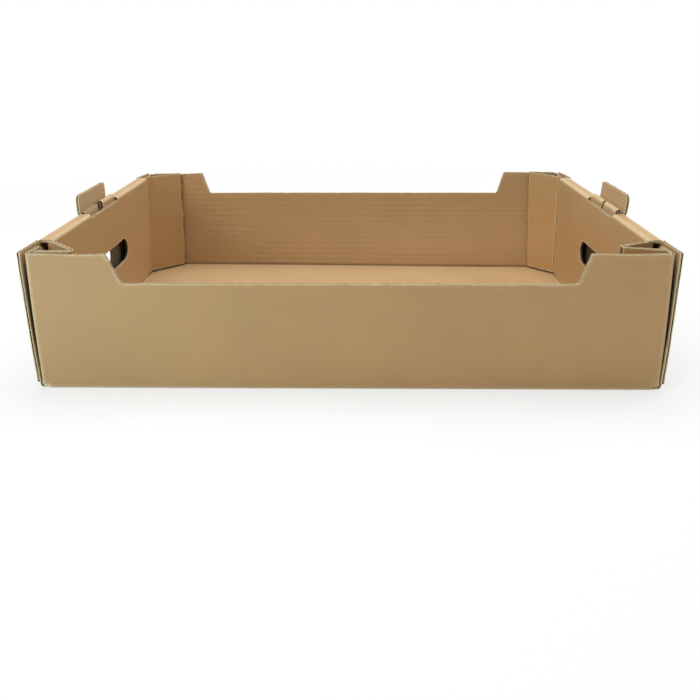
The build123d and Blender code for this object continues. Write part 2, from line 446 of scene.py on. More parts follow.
class Outline:
    """Closed outline on the board, with its rounded corners and its wandering cut edges."""

    raw_step: ClassVar[float] = 3.0
    seam_step: ClassVar[float] = 12.0
    round_steps: ClassVar[int] = 6
    drift_pace: ClassVar[float] = 0.11
    drift_seed: ClassVar[float] = 3.7
    jag_pace: ClassVar[float] = 0.43
    jag_seed: ClassVar[float] = 9.1

    def __init__(self, corners: Sequence[Corner], ragged: float) -> None:
        """Traces the outline.

        Args:
            corners: Corners in order.
            ragged: Largest distance by which a cut edge wanders.
        """
        self.spots: list[Vector] = []
        self.raws: list[bool] = []
        pieces = [self._rounded(corners, i) for i in range(len(corners))]
        for i, piece in enumerate(pieces):
            following = pieces[(i + 1) % len(pieces)][0]
            raw = corners[i].raw
            for spot in piece[:-1]:
                self._put(spot, True)
            start = piece[-1]
            step = self.raw_step if raw else self.seam_step
            count = max(1, math.ceil((following - start).length / step))
            for k in range(count):
                self._put(start.lerp(following, k / count), raw)
        self._wander(ragged)

    def _put(self, spot: Vector, raw: bool) -> None:
        """Adds a point and says whether the edge after it is a cut one."""
        self.spots.append(spot)
        self.raws.append(raw)

    def _rounded(self, corners: Sequence[Corner], i: int) -> list[Vector]:
        """Points of one corner.

        Args:
            corners: All the corners in order.
            i: Number of the corner.

        Returns:
            The corner's own point, or the points of its arc if it is rounded.
        """
        spot = Vector((corners[i].s, corners[i].t))
        before = corners[i - 1]
        after = corners[(i + 1) % len(corners)]
        back = (Vector((before.s, before.t)) - spot).normalized()
        on = (Vector((after.s, after.t)) - spot).normalized()
        if corners[i].radius <= 0.0:
            return [spot]
        opening = back.angle(on)
        trim = corners[i].radius / math.tan(opening / 2)
        centre = spot + (back + on).normalized() * (corners[i].radius / math.sin(opening / 2))
        first = spot + back * trim - centre
        turn = turn_between(-back, on)
        return [
            centre + Matrix.Rotation(turn * k / self.round_steps, 2) @ first
            for k in range(self.round_steps + 1)
        ]

    def _wander(self, ragged: float) -> None:
        """Moves the points of cut edges a little across the edge.

        Args:
            ragged: Largest distance by which they move.
        """
        moved: list[Vector] = []
        count = len(self.spots)
        for i, spot in enumerate(self.spots):
            along = self.spots[(i + 1) % count] - self.spots[i - 1]
            across = Vector((-along.y, along.x)).normalized()
            free = self.raws[i] and self.raws[i - 1]
            drift = noise.noise(Vector((spot.x * self.drift_pace, spot.y * self.drift_pace, self.drift_seed)))
            jag = noise.noise(Vector((spot.x * self.jag_pace, spot.y * self.jag_pace, self.jag_seed)))
            moved.append(spot + across * (ragged * (drift + jag) if free else 0.0))
        self.spots = moved

    def segments(self, raw: bool) -> list[tuple[Vector, Vector]]:
        """Straight pieces of the outline.

        Args:
            raw: True for the cut edges, False for the seams.

        Returns:
            Both ends of each piece.
        """
        following = [*self.spots[1:], self.spots[0]]
        return [(a, b) for a, b, cut in zip(self.spots, following, self.raws) if cut == raw]


def distances(spots: np.ndarray, segments: Sequence[tuple[Vector, Vector]]) -> np.ndarray:
    """Distance from each spot to the nearest of several straight pieces.

    Args:
        spots: Places on the board, one to a row.
        segments: Ends of the straight pieces.

    Returns:
        One distance for each spot, very large if there are no pieces.
    """
    nearest = np.full(len(spots), FAR)
    for start, stop in segments:
        a = np.array(start)
        run = np.array(stop) - a
        share = np.clip(((spots - a) @ run) / max(float(run @ run), TINY), 0.0, 1.0)
        gap = np.linalg.norm(spots - a - share[:, None] * run, axis=1)
        nearest = np.minimum(nearest, gap)
    return nearest


def inside_loops(spots: np.ndarray, loops: Sequence[Sequence[Vector]]) -> np.ndarray:
    """Tells which spots lie inside an outline and outside its openings.

    Args:
        spots: Places on the board, one to a row.
        loops: Outline and openings.

    Returns:
        True for each spot that lies on the board.
    """
    inside = np.zeros(len(spots), dtype=bool)
    for loop in loops:
        for start, stop in zip(loop, [*loop[1:], loop[0]]):
            spans = (start.y > spots[:, 1]) != (stop.y > spots[:, 1])
            if start.y != stop.y:
                reach = start.x + (spots[:, 1] - start.y) * (stop.x - start.x) / (stop.y - start.y)
                inside ^= spans & (spots[:, 0] < reach)
    return inside


@dataclass(frozen=True)
class Plane3:
    """Plane that holds a fold path, and the direction in which the path is swept."""

    origin: Vector
    first: Vector
    second: Vector
    sweep: Vector

    def point(self, flat: Vector, t: float) -> Vector:
        """Place in the tray's frame of a point of the plane, swept by t."""
        return self.origin + self.first * flat.x + self.second * flat.y + self.sweep * t


def end_plane(end: int) -> Plane3:
    """Upright plane along the tray that faces out at the left (-1) or right (1) end, swept to the rear."""
    return Plane3(Vector(), Vector((end, 0, 0)), Vector((0, 0, 1)), Vector((0, 1, 0)))


def corner_plane(sizes: TraySizes, end: int, side: int, foot: float) -> Plane3:
    """Level plane at the foot of a corner, swept up along its leaning walls.

    Args:
        sizes: Sizes of the tray.
        end: -1 for the left end, 1 for the right.
        side: -1 for the front wall, 1 for the rear.
        foot: Height of the plane.

    Returns:
        The plane, whose axes point out of the corner.
    """
    sweep = Vector((end * sizes.flap_lean, side * sizes.side_lean(side), 1))
    return Plane3(Vector((0, 0, foot)), Vector((end, 0, 0)), Vector((0, side, 0)), sweep)


@dataclass(frozen=True)
class Bulge:
    """Gentle local bend of the board away from its flat shape.

    Args:
        centre: Middle of the bend.
        reach: Distances along X, Y and Z over which it fades.
        offset: How far the board is off there.
    """

    centre: Triple
    reach: Triple
    offset: Triple

    def at(self, place: Vector) -> Vector:
        """Offset of the board at a place."""
        away = sum(((p - c) / r) ** 2 for p, c, r in zip(place, self.centre, self.reach))
        return Vector(self.offset) * math.exp(-away)


@dataclass(frozen=True)
class Form:
    """How the board is off its flat shape and where it lies in shade, which is painted into its colour.

    Args:
        bend: Gives the offset of the board at a place.
        shade: Gives how deep a place lies in a hollow, from 0 to 1, for the painted shade there.
    """

    bend: Callable[[Vector], Vector]
    shade: Callable[[Vector], float]


@dataclass
class MeshData:
    """Points, faces and surface values gathered for one piece.

    Args:
        points: Places in the tray's frame.
        faces: Numbers of the points of each face.
        skins: Skin of each face.
        layers: Values of each point, by the name under which the mesh stores them.
    """

    points: list[Vector] = field(default_factory=list)
    faces: list[tuple[int, ...]] = field(default_factory=list)
    skins: list[Skin] = field(default_factory=list)
    layers: dict[str, list[float]] = field(default_factory=lambda: {name: [] for name in LAYERS})
    sharp_angle: ClassVar[float] = 32.0
    no_marks: ClassVar[Triple] = (0.0, 0.0, 0.0)

    def add_point(self, place: Vector, surface: Spot, shade: float, wear_and_fold_shade: Triple = no_marks) -> int:
        """Adds a point.

        Args:
            place: Its place in the tray's frame.
            surface: Coordinates across and along the flutes.
            shade: How deep it lies in a hollow, for the painted shade there.
            wear_and_fold_shade: How near it lies to a cut edge, to a fold and to a fold with slits, for its
                wear and painted fold shade.

        Returns:
            The point's number.
        """
        self.points.append(place)
        for layer, value in zip(self.layers.values(), (*surface, *wear_and_fold_shade, shade)):
            layer.append(value)
        return len(self.points) - 1

    def add_face(self, corners: Sequence[int], skin: Skin) -> None:
        """Adds a face of one skin."""
        self.faces.append(tuple(corners))
        self.skins.append(skin)

    def build(self, name: str, materials: Sequence[bpy.types.Material]) -> bpy.types.Object:
        """Writes the mesh and its object.

        Args:
            name: Name of the piece.
            materials: One material for each skin.

        Returns:
            The new object, in metres.
        """
        mesh = bpy.data.meshes.new(name)
        mesh.from_pydata([point * MM for point in self.points], [], self.faces)
        for material in materials:
            mesh.materials.append(material)
        mesh.polygons.foreach_set("material_index", [skin.value for skin in self.skins])
        for key, values in self.layers.items():
            layer = mesh.attributes.new(key, "FLOAT", "POINT")
            layer.data.foreach_set("value", values)
        shaped = bmesh.new()
        shaped.from_mesh(mesh)
        bmesh.ops.recalc_face_normals(shaped, faces=shaped.faces)
        shaped.to_mesh(mesh)
        shaped.free()
        mesh.polygons.foreach_set("use_smooth", [True] * len(mesh.polygons))
        mesh.set_sharp_from_angle(angle=math.radians(self.sharp_angle))
        mesh.update()
        piece = bpy.data.objects.new(name, mesh)
        bpy.context.scene.collection.objects.link(piece)
        return piece


@dataclass
class Strip:
    """Strip of corrugated board, bent along a path, swept across it and cut to an outline.

    Args:
        board: The board it is made of.
        path: Middle line of the strip.
        plane: Plane of the path and the direction of the sweep.
        outline: Corners of its outer edge.
        holes: Corners of each opening in it.
        flutes: Way in which the flutes run.
        inside: 1 if the left of the path is the inside of the blank, -1 if it is the outside.
        slit_folds: Numbers of the folds that are cut through in dashes.
        torn_fold: Number of a fold that stands unevenly, if any.
        torn: How far that fold wanders.
        fold_wear_and_shade_share: Share of the fold colour that its folds show: pale wear on the outside
            liner, painted shade on the inside liner.
        step: Largest length of a face along the sweep.
    """

    board: Board
    path: FoldPath
    plane: Plane3
    outline: Sequence[Corner]
    holes: Sequence[Sequence[Corner]] = ()
    flutes: FluteRun = FluteRun.ALONG
    inside: int = 1
    slit_folds: tuple[int, ...] = ()
    torn_fold: int | None = None
    torn: float = 0.0
    fold_wear_and_shade_share: float = 1.0
    step: float = 13.0
    torn_reach: ClassVar[float] = 7.8
    torn_step: ClassVar[float] = 13.0
    torn_pace: ClassVar[float] = 0.1
    torn_seed: ClassVar[float] = 5.3
    fray_pace: ClassVar[float] = 0.35
    fray_share: ClassVar[float] = 0.6
    fray_seed: ClassVar[float] = 1.7
    slit_reach: ClassVar[float] = 2.6
    edge_band: ClassVar[float] = 2.4
    liner_step: ClassVar[float] = 13.0
    flute_step: ClassVar[float] = 39.0
    flute_steps: ClassVar[int] = 6
    flute_crush: ClassVar[float] = 0.6
    snap: ClassVar[float] = 1e-5
    weld: ClassVar[float] = 1e-4
    touch: ClassVar[float] = 1e-3

    def add_to(self, data: MeshData, form: Form) -> None:
        """Adds the strip's liners and flutes to a piece.

        Args:
            data: Mesh that takes them.
            form: How the board is off its flat shape and where it lies in shade.
        """
        outlines = [Outline(corners, self.board.ragged) for corners in (self.outline, *self.holes)]
        self._add_liners(data, outlines, form)
        self._add_flutes(data, outlines, form)

    def _corners(self) -> list[Corner]:
        """All corners of the outer edge and the openings."""
        return [corner for loop in (self.outline, *self.holes) for corner in loop]

    def _place(self, s: float, t: float, h: float) -> Vector:
        """Place of a point of the board before the tray is bent.

        Args:
            s: Length along the path.
            t: Place along the sweep.
            h: Height above the middle of the board.

        Returns:
            The place in the tray's frame.
        """
        flat, normal = self.path.place(s)
        place = self.plane.point(flat + normal * h, t)
        if self.torn_fold is not None:
            low, high = self.path.folds[self.torn_fold]
            off = self.path.fold_normal(self.torn_fold)
            near = max(0.0, 1.0 - max(low - s, s - high, 0.0) / self.torn_reach)
            steps = noise.cell(Vector((t / self.torn_step, self.torn_seed, low * self.torn_pace)))
            fray = noise.noise(Vector((t * self.fray_pace, low, self.fray_seed)))
            flat_off = off * (self.torn * near * (steps + self.fray_share * fray))
            place += self.plane.first * flat_off.x + self.plane.second * flat_off.y
        return place

    def _surface(self, s: float, t: float) -> Spot:
        """Coordinates across and along the flutes."""
        return (t, s) if self.flutes is FluteRun.ALONG else (s, t)

    def _cut(
        self, outlines: Sequence[Outline], s_lines: Sequence[float], t_lines: Sequence[float],
    ) -> bmesh.types.BMesh:
        """Cuts the flat board to its outlines and then along lines in both directions.

        Args:
            outlines: Outer edge and openings.
            s_lines: Lengths along the path at which to cut.
            t_lines: Places along the sweep at which to cut.

        Returns:
            Flat mesh, with s and t as its first two coordinates.
        """
        spots: list[Vector] = []
        edges: list[tuple[int, int]] = []
        for outline in outlines:
            base = len(spots)
            count = len(outline.spots)
            spots += outline.spots
            edges += [(base + i, base + (i + 1) % count) for i in range(count)]
        verts, _, faces = geometry.delaunay_2d_cdt(spots, edges, [], 0, self.snap, False)[:3]
        centres = np.array([np.mean([verts[i] for i in face], axis=0) for face in faces])
        kept = inside_loops(centres, [outline.spots for outline in outlines])
        flat = bmesh.new()
        corners = [flat.verts.new((spot.x, spot.y, 0.0)) for spot in verts]
        for face, keep in zip(faces, kept):
            if keep:
                flat.faces.new([corners[i] for i in face])
        cuts = [sorted(set(s_lines)), sorted(set(t_lines))]
        for axis in (0, 1):
            self._split(flat, flat.faces[:], axis, cuts[axis])
        self._join_cells(flat, cuts)
        bmesh.ops.remove_doubles(flat, verts=flat.verts, dist=self.weld)
        loose = [vert for vert in flat.verts if not vert.link_faces]
        bmesh.ops.delete(flat, geom=loose, context="VERTS")
        flat.verts.index_update()
        return flat

    def _split(
        self, flat: bmesh.types.BMesh, faces: list[bmesh.types.BMFace], axis: int, lines: Sequence[float],
    ) -> None:
        """Cuts faces along lines of one direction, the middle line first and then either half.

        Args:
            flat: Flat mesh.
            faces: Faces to cut.
            axis: 0 for lines across the path, 1 for lines along it.
            lines: Places of the lines, in order.
        """
        if not lines or not faces:
            return
        middle = len(lines) // 2
        normal = Vector((1, 0, 0)) if axis == 0 else Vector((0, 1, 0))
        verts = {vert for face in faces for vert in face.verts}
        edges = {edge for face in faces for edge in face.edges}
        parts = bmesh.ops.bisect_plane(
            flat, geom=[*verts, *edges, *faces], dist=self.weld,
            plane_co=normal * lines[middle], plane_no=normal,
        )["geom"]
        sides: tuple[list[bmesh.types.BMFace], list[bmesh.types.BMFace]] = ([], [])
        for part in parts:
            if isinstance(part, bmesh.types.BMFace):
                sides[part.calc_center_median()[axis] > lines[middle]].append(part)
        self._split(flat, sides[0], axis, lines[:middle])
        self._split(flat, sides[1], axis, lines[middle + 1:])

    @staticmethod
    def _join_cells(flat: bmesh.types.BMesh, cuts: Sequence[Sequence[float]]) -> None:
        """Joins the faces that lie between the same lines.

        Args:
            flat: Flat mesh, cut along the lines.
            cuts: Places of the lines across the path and of those along it.
        """
        cells: dict[bmesh.types.BMFace, tuple[int, int]] = {}
        for face in flat.faces:
            centre = face.calc_center_median()
            cells[face] = (bisect_left(cuts[0], centre.x), bisect_left(cuts[1], centre.y))
        inner = [
            edge for edge in flat.edges
            if len(edge.link_faces) == 2 and cells[edge.link_faces[0]] == cells[edge.link_faces[1]]
        ]
        bmesh.ops.dissolve_edges(flat, edges=inner, use_verts=False, use_face_split=False)
        spare = [
            vert for vert in flat.verts
            if len(vert.link_edges) == 2 and all(len(edge.link_faces) == 2 for edge in vert.link_edges)
        ]
        bmesh.ops.dissolve_verts(flat, verts=spare)

    def _t_lines(self, step: float) -> list[float]:
        """Places along the sweep at which a mesh is cut.

        Args:
            step: Largest distance between two of them.

        Returns:
            Evenly spaced places between the ends of the outline.
        """
        places = [corner.t for corner in self.outline]
        low, high = min(places), max(places)
        count = max(1, math.ceil((high - low) / step))
        return [low + (high - low) * i / count for i in range(1, count)]

    def _band_lines(self) -> tuple[list[float], list[float]]:
        """Lines just inside the straight cut edges, so that wear stays close to them.

        Returns:
            Lengths along the path and places along the sweep.
        """
        corners = self._corners()
        s_lines = [corner.s + side * self.edge_band for corner in corners for side in (-1, 1)]
        t_lines = [corner.t + side * self.edge_band for corner in corners for side in (-1, 1)]
        return sorted(set(s_lines)), sorted(set(t_lines))

    @staticmethod
    def _edge_gaps(flat: bmesh.types.BMesh, outlines: Sequence[Outline]) -> np.ndarray:
        """Distance from each point of a flat mesh to the nearest cut edge.

        Args:
            flat: Flat mesh.
            outlines: Outer edge and openings.

        Returns:
            One distance for each point, in the order of the mesh.
        """
        raw = [segment for outline in outlines for segment in outline.segments(True)]
        return distances(np.array([vert.co.xy for vert in flat.verts]), raw)

    def _add_liners(self, data: MeshData, outlines: Sequence[Outline], form: Form) -> None:
        """Adds the board's two faces, open between them along the cut edges.

        Args:
            data: Mesh that takes them.
            outlines: Outer edge and openings.
            form: How the board is off its flat shape and where it lies in shade.
        """
        band_s, band_t = self._band_lines()
        s_lines, t_lines = self.path.lines(self.liner_step), self._t_lines(self.step)
        flat = self._cut(outlines, s_lines + band_s, t_lines + band_t)
        gaps = self._edge_gaps(flat, outlines)
        half, inside = self.board.half, self.board.half - self.board.liner
        skins = (Skin.INSIDE, Skin.FLUTE, Skin.FLUTE, Skin.OUTSIDE)[::self.inside]
        levels: dict[tuple[int, int], int] = {}

        def level(vert: bmesh.types.BMVert, layer: int) -> int:
            """Finds or adds a point of one of the four layers: outer and inner face of either liner.

            Args:
                vert: Point of the flat mesh.
                layer: Number of the layer, from the left of the path.

            Returns:
                The point's number.
            """
            key = (vert.index, layer)
            if key not in levels:
                h = (half, inside, -inside, -half)[layer]
                s, t = vert.co.x, vert.co.y
                edge = math.exp(-((gaps[vert.index] / self.edge_band) ** 2))
                # The inside liner's folds reach wider, for the painted shade in them.
                beside = self.path.shade_reach if skins[layer] is Skin.INSIDE else self.path.crease_reach
                crease = self.fold_wear_and_shade_share * self.path.crease(s, beside)
                slit = self.path.slit(s, self.slit_folds, self.slit_reach)
                place = self._place(s, t, h)
                levels[key] = data.add_point(
                    place + form.bend(place), self._surface(s, t), form.shade(place), (edge, crease, slit),
                )
            return levels[key]

        opened = {
            face for face in flat.faces
            if min(gaps[vert.index] for vert in face.verts) < self.touch
            or np.mean([gaps[vert.index] for vert in face.verts]) < self.board.open_depth
        }
        for face in flat.faces:
            for layer in (0, 1, 2, 3) if face in opened else (0, 3):
                data.add_face([level(vert, layer) for vert in face.verts], skins[layer])
        self._close_edges(data, flat, opened, level)
        flat.free()

    @staticmethod
    def _close_edges(
        data: MeshData, flat: bmesh.types.BMesh, opened: set[bmesh.types.BMFace],
        level: Callable[[bmesh.types.BMVert, int], int],
    ) -> None:
        """Closes the edges of the liners and the far end of the open room between them.

        Args:
            data: Mesh that takes the faces.
            flat: Flat mesh of the liners.
            opened: Faces between whose liners the board is open.
            level: Gives the number of a point in one of the four layers.
        """
        open_verts = {vert for face in opened for vert in face.verts}
        for edge in flat.edges:
            a, b = edge.verts
            open_faces = sum(face in opened for face in edge.link_faces)
            if len(edge.link_faces) == 1 and open_faces:
                for top, under in ((0, 1), (2, 3)):
                    data.add_face([level(a, top), level(b, top), level(b, under), level(a, under)], Skin.CUT)
            elif len(edge.link_faces) == 1:
                down = [0, 1, 2, 3] if b in open_verts else [0, 3]
                up = [3, 2, 1, 0] if a in open_verts else [3, 0]
                data.add_face([level(b, i) for i in down] + [level(a, i) for i in up], Skin.CUT)
            elif open_faces == 1:
                data.add_face([level(a, 1), level(b, 1), level(b, 2), level(a, 2)], Skin.FLUTE)

    def _add_flutes(self, data: MeshData, outlines: Sequence[Outline], form: Form) -> None:
        """Adds the wavy paper that shows between the liners along the cut edges.

        Args:
            data: Mesh that takes it.
            outlines: Outer edge and openings.
            form: How the board is off its flat shape and where it lies in shade.
        """
        along = self.flutes is FluteRun.ALONG
        spacing = self.board.pitch / self.flute_steps
        places = [corner.t if along else corner.s for corner in self._corners()]
        first, last = math.ceil(min(places) / spacing), math.floor(max(places) / spacing)
        waves = [spacing * i for i in range(first, last + 1)]
        folds, wide = self.path.lines(self.flute_step), self._t_lines(self.flute_step)
        flat = self._cut(outlines, folds if along else folds + waves, waves if along else wide)
        gaps = self._edge_gaps(flat, outlines)
        depth = self.board.open_depth
        hidden = [face for face in flat.faces if min(gaps[vert.index] for vert in face.verts) > depth]
        bmesh.ops.delete(flat, geom=hidden, context="FACES")
        turn = 2 * math.pi / self.board.pitch
        sheets: list[dict[bmesh.types.BMVert, int]] = [{}, {}]
        for vert in flat.verts:
            s, t = vert.co.x, vert.co.y
            surface = self._surface(s, t)
            crushed = 1.0 - self.flute_crush * self.path.crease(s)
            h = self.board.wave * crushed * math.sin(turn * surface[0])
            for sheet, off in zip(sheets, (self.board.medium / 2, -self.board.medium / 2)):
                place = self._place(s, t, h + off)
                sheet[vert] = data.add_point(place + form.bend(place), surface, form.shade(place))
        for face in flat.faces:
            for sheet in sheets:
                data.add_face([sheet[vert] for vert in face.verts], Skin.FLUTE)
        for edge in flat.edges:
            if len(edge.link_faces) == 1:
                a, b = edge.verts
                data.add_face([sheets[0][a], sheets[0][b], sheets[1][b], sheets[1][a]], Skin.CUT)
        flat.free()


def box_corners(s: Spot, t: Spot, radius: float = 0.0) -> list[Corner]:
    """Corners of a rectangle on the board.

    Args:
        s: Least and greatest length along the path.
        t: Least and greatest place along the sweep.
        radius: Radius of its corners.

    Returns:
        Four corners in order, all on cut edges.
    """
    spots = ((s[0], t[0]), (s[1], t[0]), (s[1], t[1]), (s[0], t[1]))
    return [Corner(*spot, radius) for spot in spots]


@dataclass
class TrayBody:
    """Floor, front wall and rear wall: the middle strip of the blank.

    Args:
        sizes: Sizes of the tray.
        notch_left: How much further out the front notch's left end is cut, at the top and at the bottom.
        notch_right: The same of its right end.
    """

    sizes: TraySizes
    notch_left: Spot = (3.4, 0.4)
    notch_right: Spot = (2.1, 2.1)

    def path(self) -> FoldPath:
        """Middle line of the front wall, the floor and the rear wall.

        Returns:
            The path, from the top of the front wall to the top of the rear wall.
        """
        z = self.sizes
        half, top = z.board.half, z.side_height
        points = [
            (-(z.side_half_top - half), top),
            (-(z.side_y(-1, half) - half), half),
            (z.side_y(1, half) - half, half),
            (z.side_half_top - half, top),
        ]
        return FoldPath(points, z.board.fold_middle)

    def strips(self) -> list[Strip]:
        """Strips of board of this sub-assembly.

        Returns:
            One strip, with a notch in either wall.
        """
        z = self.sizes
        path = self.path()
        half, top, foot = z.board.half, z.side_height, z.loose_foot
        wall_top, wall_foot = z.flap_x(top) - z.fold_room, z.flap_x(foot) - z.fold_room
        notch_foot = top - z.notch_depth
        over, under = z.notch_top / 2, z.notch_bottom / 2

        def front(height: float) -> float:
            """Length along the path at a height of the front wall."""
            return path.along(0, top - height, top - half)

        def rear(height: float) -> float:
            """Length along the path at a height of the rear wall."""
            return path.along(2, height - half, top - half)

        def floor(y: float) -> float:
            """Length along the path at a place of the floor."""
            return path.spot(1, y - path.points[1].x)

        walls = (
            (front, floor(-z.side_y(-1, 0) + z.board.fold_outer)),
            (rear, floor(z.side_y(1, 0) - z.board.fold_outer)),
        )

        def end_run(end: int) -> list[Corner]:
            """Corners of one end, from one wall's top past the floor to the other's.

            Args:
                end: -1 for the left end, 1 for the right.

            Returns:
                Corners in order.
            """
            (near, near_stub), (far, far_stub) = walls[::-end]
            return [
                Corner(near(top), end * wall_top, raw=False),
                Corner(near(foot), end * wall_foot),
                Corner(near_stub, end * wall_foot),
                Corner(near_stub, end * z.floor_seam, raw=False),
                Corner(far_stub, end * z.floor_seam),
                Corner(far_stub, end * wall_foot),
                Corner(far(foot), end * wall_foot, raw=False),
                Corner(far(top), end * wall_top),
            ]

        def notch(wall: Callable[[float], float], start: Spot, stop: Spot) -> list[Corner]:
            """Corners of a notch in a wall.

            Args:
                wall: Gives the length along the path at a height of the wall.
                start: Places along X of its first end, at the top and at the bottom.
                stop: The same of its other end.

            Returns:
                Corners in order.
            """
            return [
                Corner(wall(top), start[0], z.lip_round),
                Corner(wall(notch_foot), start[1], z.notch_round),
                Corner(wall(notch_foot), stop[1], z.notch_round),
                Corner(wall(top), stop[0], z.lip_round),
            ]

        front_right = (over + self.notch_right[0], under + self.notch_right[1])
        front_left = (-over - self.notch_left[0], -under - self.notch_left[1])
        corners = [*end_run(-1), *notch(rear, (-over, -under), (over, under))]
        corners += [*end_run(1), *notch(front, front_right, front_left)]
        plane = Plane3(Vector(), Vector((0, 1, 0)), Vector((0, 0, 1)), Vector((1, 0, 0)))
        return [Strip(z.board, path, plane, corners, flutes=FluteRun.ACROSS)]


@dataclass
class EndWall:
    """Hollow end wall: outer panel, strip, inner panel and tab.

    Args:
        sizes: Sizes of the tray.
        end: -1 for the left end, 1 for the right.
        inner_hand: Shift along Y and half length of the inner panel's hand hole.
        outer_hand: The same of the outer panel's, which is cut short.
    """

    sizes: TraySizes
    end: int
    inner_hand: Spot
    outer_hand: Spot

    def strips(self) -> list[Strip]:
        """Strips of board of this sub-assembly."""
        return [self.main_strip(), self.cheek(-1), self.cheek(1), self.tab()]

    def outer(self, path: FoldPath, height: float) -> float:
        """Length along the end wall's path at a height of the outer panel."""
        z = self.sizes
        return path.along(1, height - z.board.half, z.crown - z.board.half)

    def inner(self, path: FoldPath, height: float) -> float:
        """Length along the end wall's path at a height of the inner panel."""
        z = self.sizes
        return path.along(3, z.crown - height, z.crown - z.slip)

    def main_strip(self) -> Strip:
        """Floor edge, outer panel, strip and inner panel in one run.

        Returns:
            The strip, between the two posts.
        """
        z = self.sizes
        half, crown = z.board.half, z.crown
        points = [
            (z.floor_seam, half),
            (z.end_x(half) - half, half),
            (z.end_x(crown) - half, crown),
            (z.inner_x(crown) + half, crown),
            (z.inner_x(z.slip) + half, z.slip),
        ]
        path = FoldPath(points, z.board.fold_middle)
        low, high = z.seam_y(-1, z.end_height), z.seam_y(1, z.end_height)
        top = self.inner(path, crown)
        corners = [
            Corner(0.0, high, raw=False),
            Corner(0.0, low, raw=False),
            Corner(top, low, raw=False),
            *self.inner_foot(path),
            Corner(top, high, raw=False),
        ]
        holes = [*self.hand_holes(path), self.strip_opening(path), *self.floor_slots(path)]
        return Strip(z.board, path, end_plane(self.end), corners, holes)

    def inner_foot(self, path: FoldPath) -> list[Corner]:
        """Lower edge of the inner panel, with its lock tongues.

        Args:
            path: Middle line of the end wall.

        Returns:
            Corners from the front post to the rear one.
        """
        z = self.sizes
        foot, seat = z.panel_foot, z.board.thick + z.slip
        corners = [Corner(self.inner(path, foot), z.seam_y(-1, foot))]
        for lock in (-1, 1):
            for side in (-1, 1):
                edge = z.middle + lock * z.lock_offset + side * z.lock_length / 2
                base = foot if side == lock else seat
                for step in (base, z.slip)[::-side]:
                    radius = z.nick_round if step == z.slip else 0.0
                    corners.append(Corner(self.inner(path, step), edge, radius))
        return [*corners, Corner(self.inner(path, foot), z.seam_y(1, foot), raw=False)]

    def hand_holes(self, path: FoldPath) -> list[list[Corner]]:
        """Hand holes of both panels.

        Args:
            path: Middle line of the end wall.

        Returns:
            Corners of the outer panel's hole and of the inner panel's.
        """
        z = self.sizes
        heights = (z.hand_middle - z.hand_height / 2, z.hand_middle + z.hand_height / 2)
        radius = z.hand_height / 2 - z.round_trim
        holes = []
        for panel, (shift, reach) in ((self.outer, self.outer_hand), (self.inner, self.inner_hand)):
            low, high = sorted(panel(path, height) for height in heights)
            places = (z.middle + shift - reach, z.middle + shift + reach)
            holes.append(box_corners((low, high), places, radius))
        return holes

    def strip_opening(self, path: FoldPath) -> list[Corner]:
        """Opening of the strip beside the tab.

        Args:
            path: Middle line of the end wall.

        Returns:
            Corners of the opening.
        """
        z = self.sizes
        reach = z.tab_length / 2 - z.tab_neck
        outer = self.outer(path, z.end_height - z.fold_room)
        inner = self.inner(path, z.end_height - z.strip_drop)
        return box_corners((outer, inner), (z.tab_middle - reach, z.tab_middle + reach))

    def floor_slots(self, path: FoldPath) -> list[list[Corner]]:
        """Slots at the foot: one for the tab of a tray beneath and two for the lock tongues.

        Args:
            path: Middle line of the end wall.

        Returns:
            Corners of each slot.
        """
        z = self.sizes
        half = z.board.half
        reach = z.tab_length / 2 + z.slot_spare
        beside = z.inner_x(0) + z.board.thick + z.slip
        lengths = (path.spot(0, beside - z.floor_seam), self.outer(path, z.slot_height))
        slots = [box_corners(lengths, (z.tab_middle - reach, z.tab_middle + reach), z.slot_round)]
        lock_x = z.inner_x(half) + half - z.floor_seam
        lock_half = half + z.lock_play
        lengths = (path.spot(0, lock_x - lock_half), path.spot(0, lock_x + lock_half))
        reach = z.lock_length / 2 + z.lock_play
        for place in (z.middle - z.lock_offset, z.middle + z.lock_offset):
            slots.append(box_corners(lengths, (place - reach, place + reach)))
        return slots

    def cheek(self, side: int) -> Strip:
        """Part of the outer panel between the end of the strip and the upright edge.

        Args:
            side: -1 at the front wall, 1 at the rear.

        Returns:
            The strip, with its stretch of the floor.
        """
        z = self.sizes
        half, top = z.board.half, z.end_height
        points = [(z.floor_seam, half), (z.end_x(half) - half, half), (z.end_x(top) - half, top)]
        path = FoldPath(points, z.board.fold_middle)
        low, high = (path.along(1, height - half, top - half) for height in (z.fold_room, top))
        inside = z.seam_y(side, top)
        relief = side * (z.side_y(side, 0) - z.board.fold_outer)
        corners = [
            Corner(0.0, inside, raw=False),
            Corner(0.0, relief, raw=False),
            Corner(low, relief),
            Corner(low, side * z.side_y(side, z.fold_room)),
            Corner(high, side * z.side_y(side, top), z.nick_round),
            Corner(high, inside, raw=False),
        ]
        return Strip(z.board, path, end_plane(self.end), corners)

    def tab(self) -> Strip:
        """Stacking tab that stands up from the outer panel.

        Returns:
            The strip, from below the opening to the tab's tip.
        """
        z = self.sizes
        half = z.board.half
        low, tip = z.end_height - z.fold_room, z.end_height + z.tab_rise
        path = FoldPath([(z.end_x(low) - half, low), (z.end_x(tip) - half, tip)], z.board.fold_middle)
        scale = path.total / (tip - low)
        front, rear = z.tab_middle - z.tab_length / 2, z.tab_middle + z.tab_length / 2 - z.tab_short
        shoulder = (z.fold_room + z.side_step) * scale
        corners = [
            Corner(0.0, rear - z.tab_neck, raw=False),
            Corner(0.0, front + z.tab_neck),
            Corner(shoulder, front + z.tab_neck),
            Corner(shoulder, front),
            Corner(path.total, front, z.tab_round),
            Corner(path.total, rear, z.tab_round),
            Corner(shoulder, rear),
            Corner(shoulder, rear - z.tab_neck),
        ]
        return Strip(z.board, path, end_plane(self.end), corners)


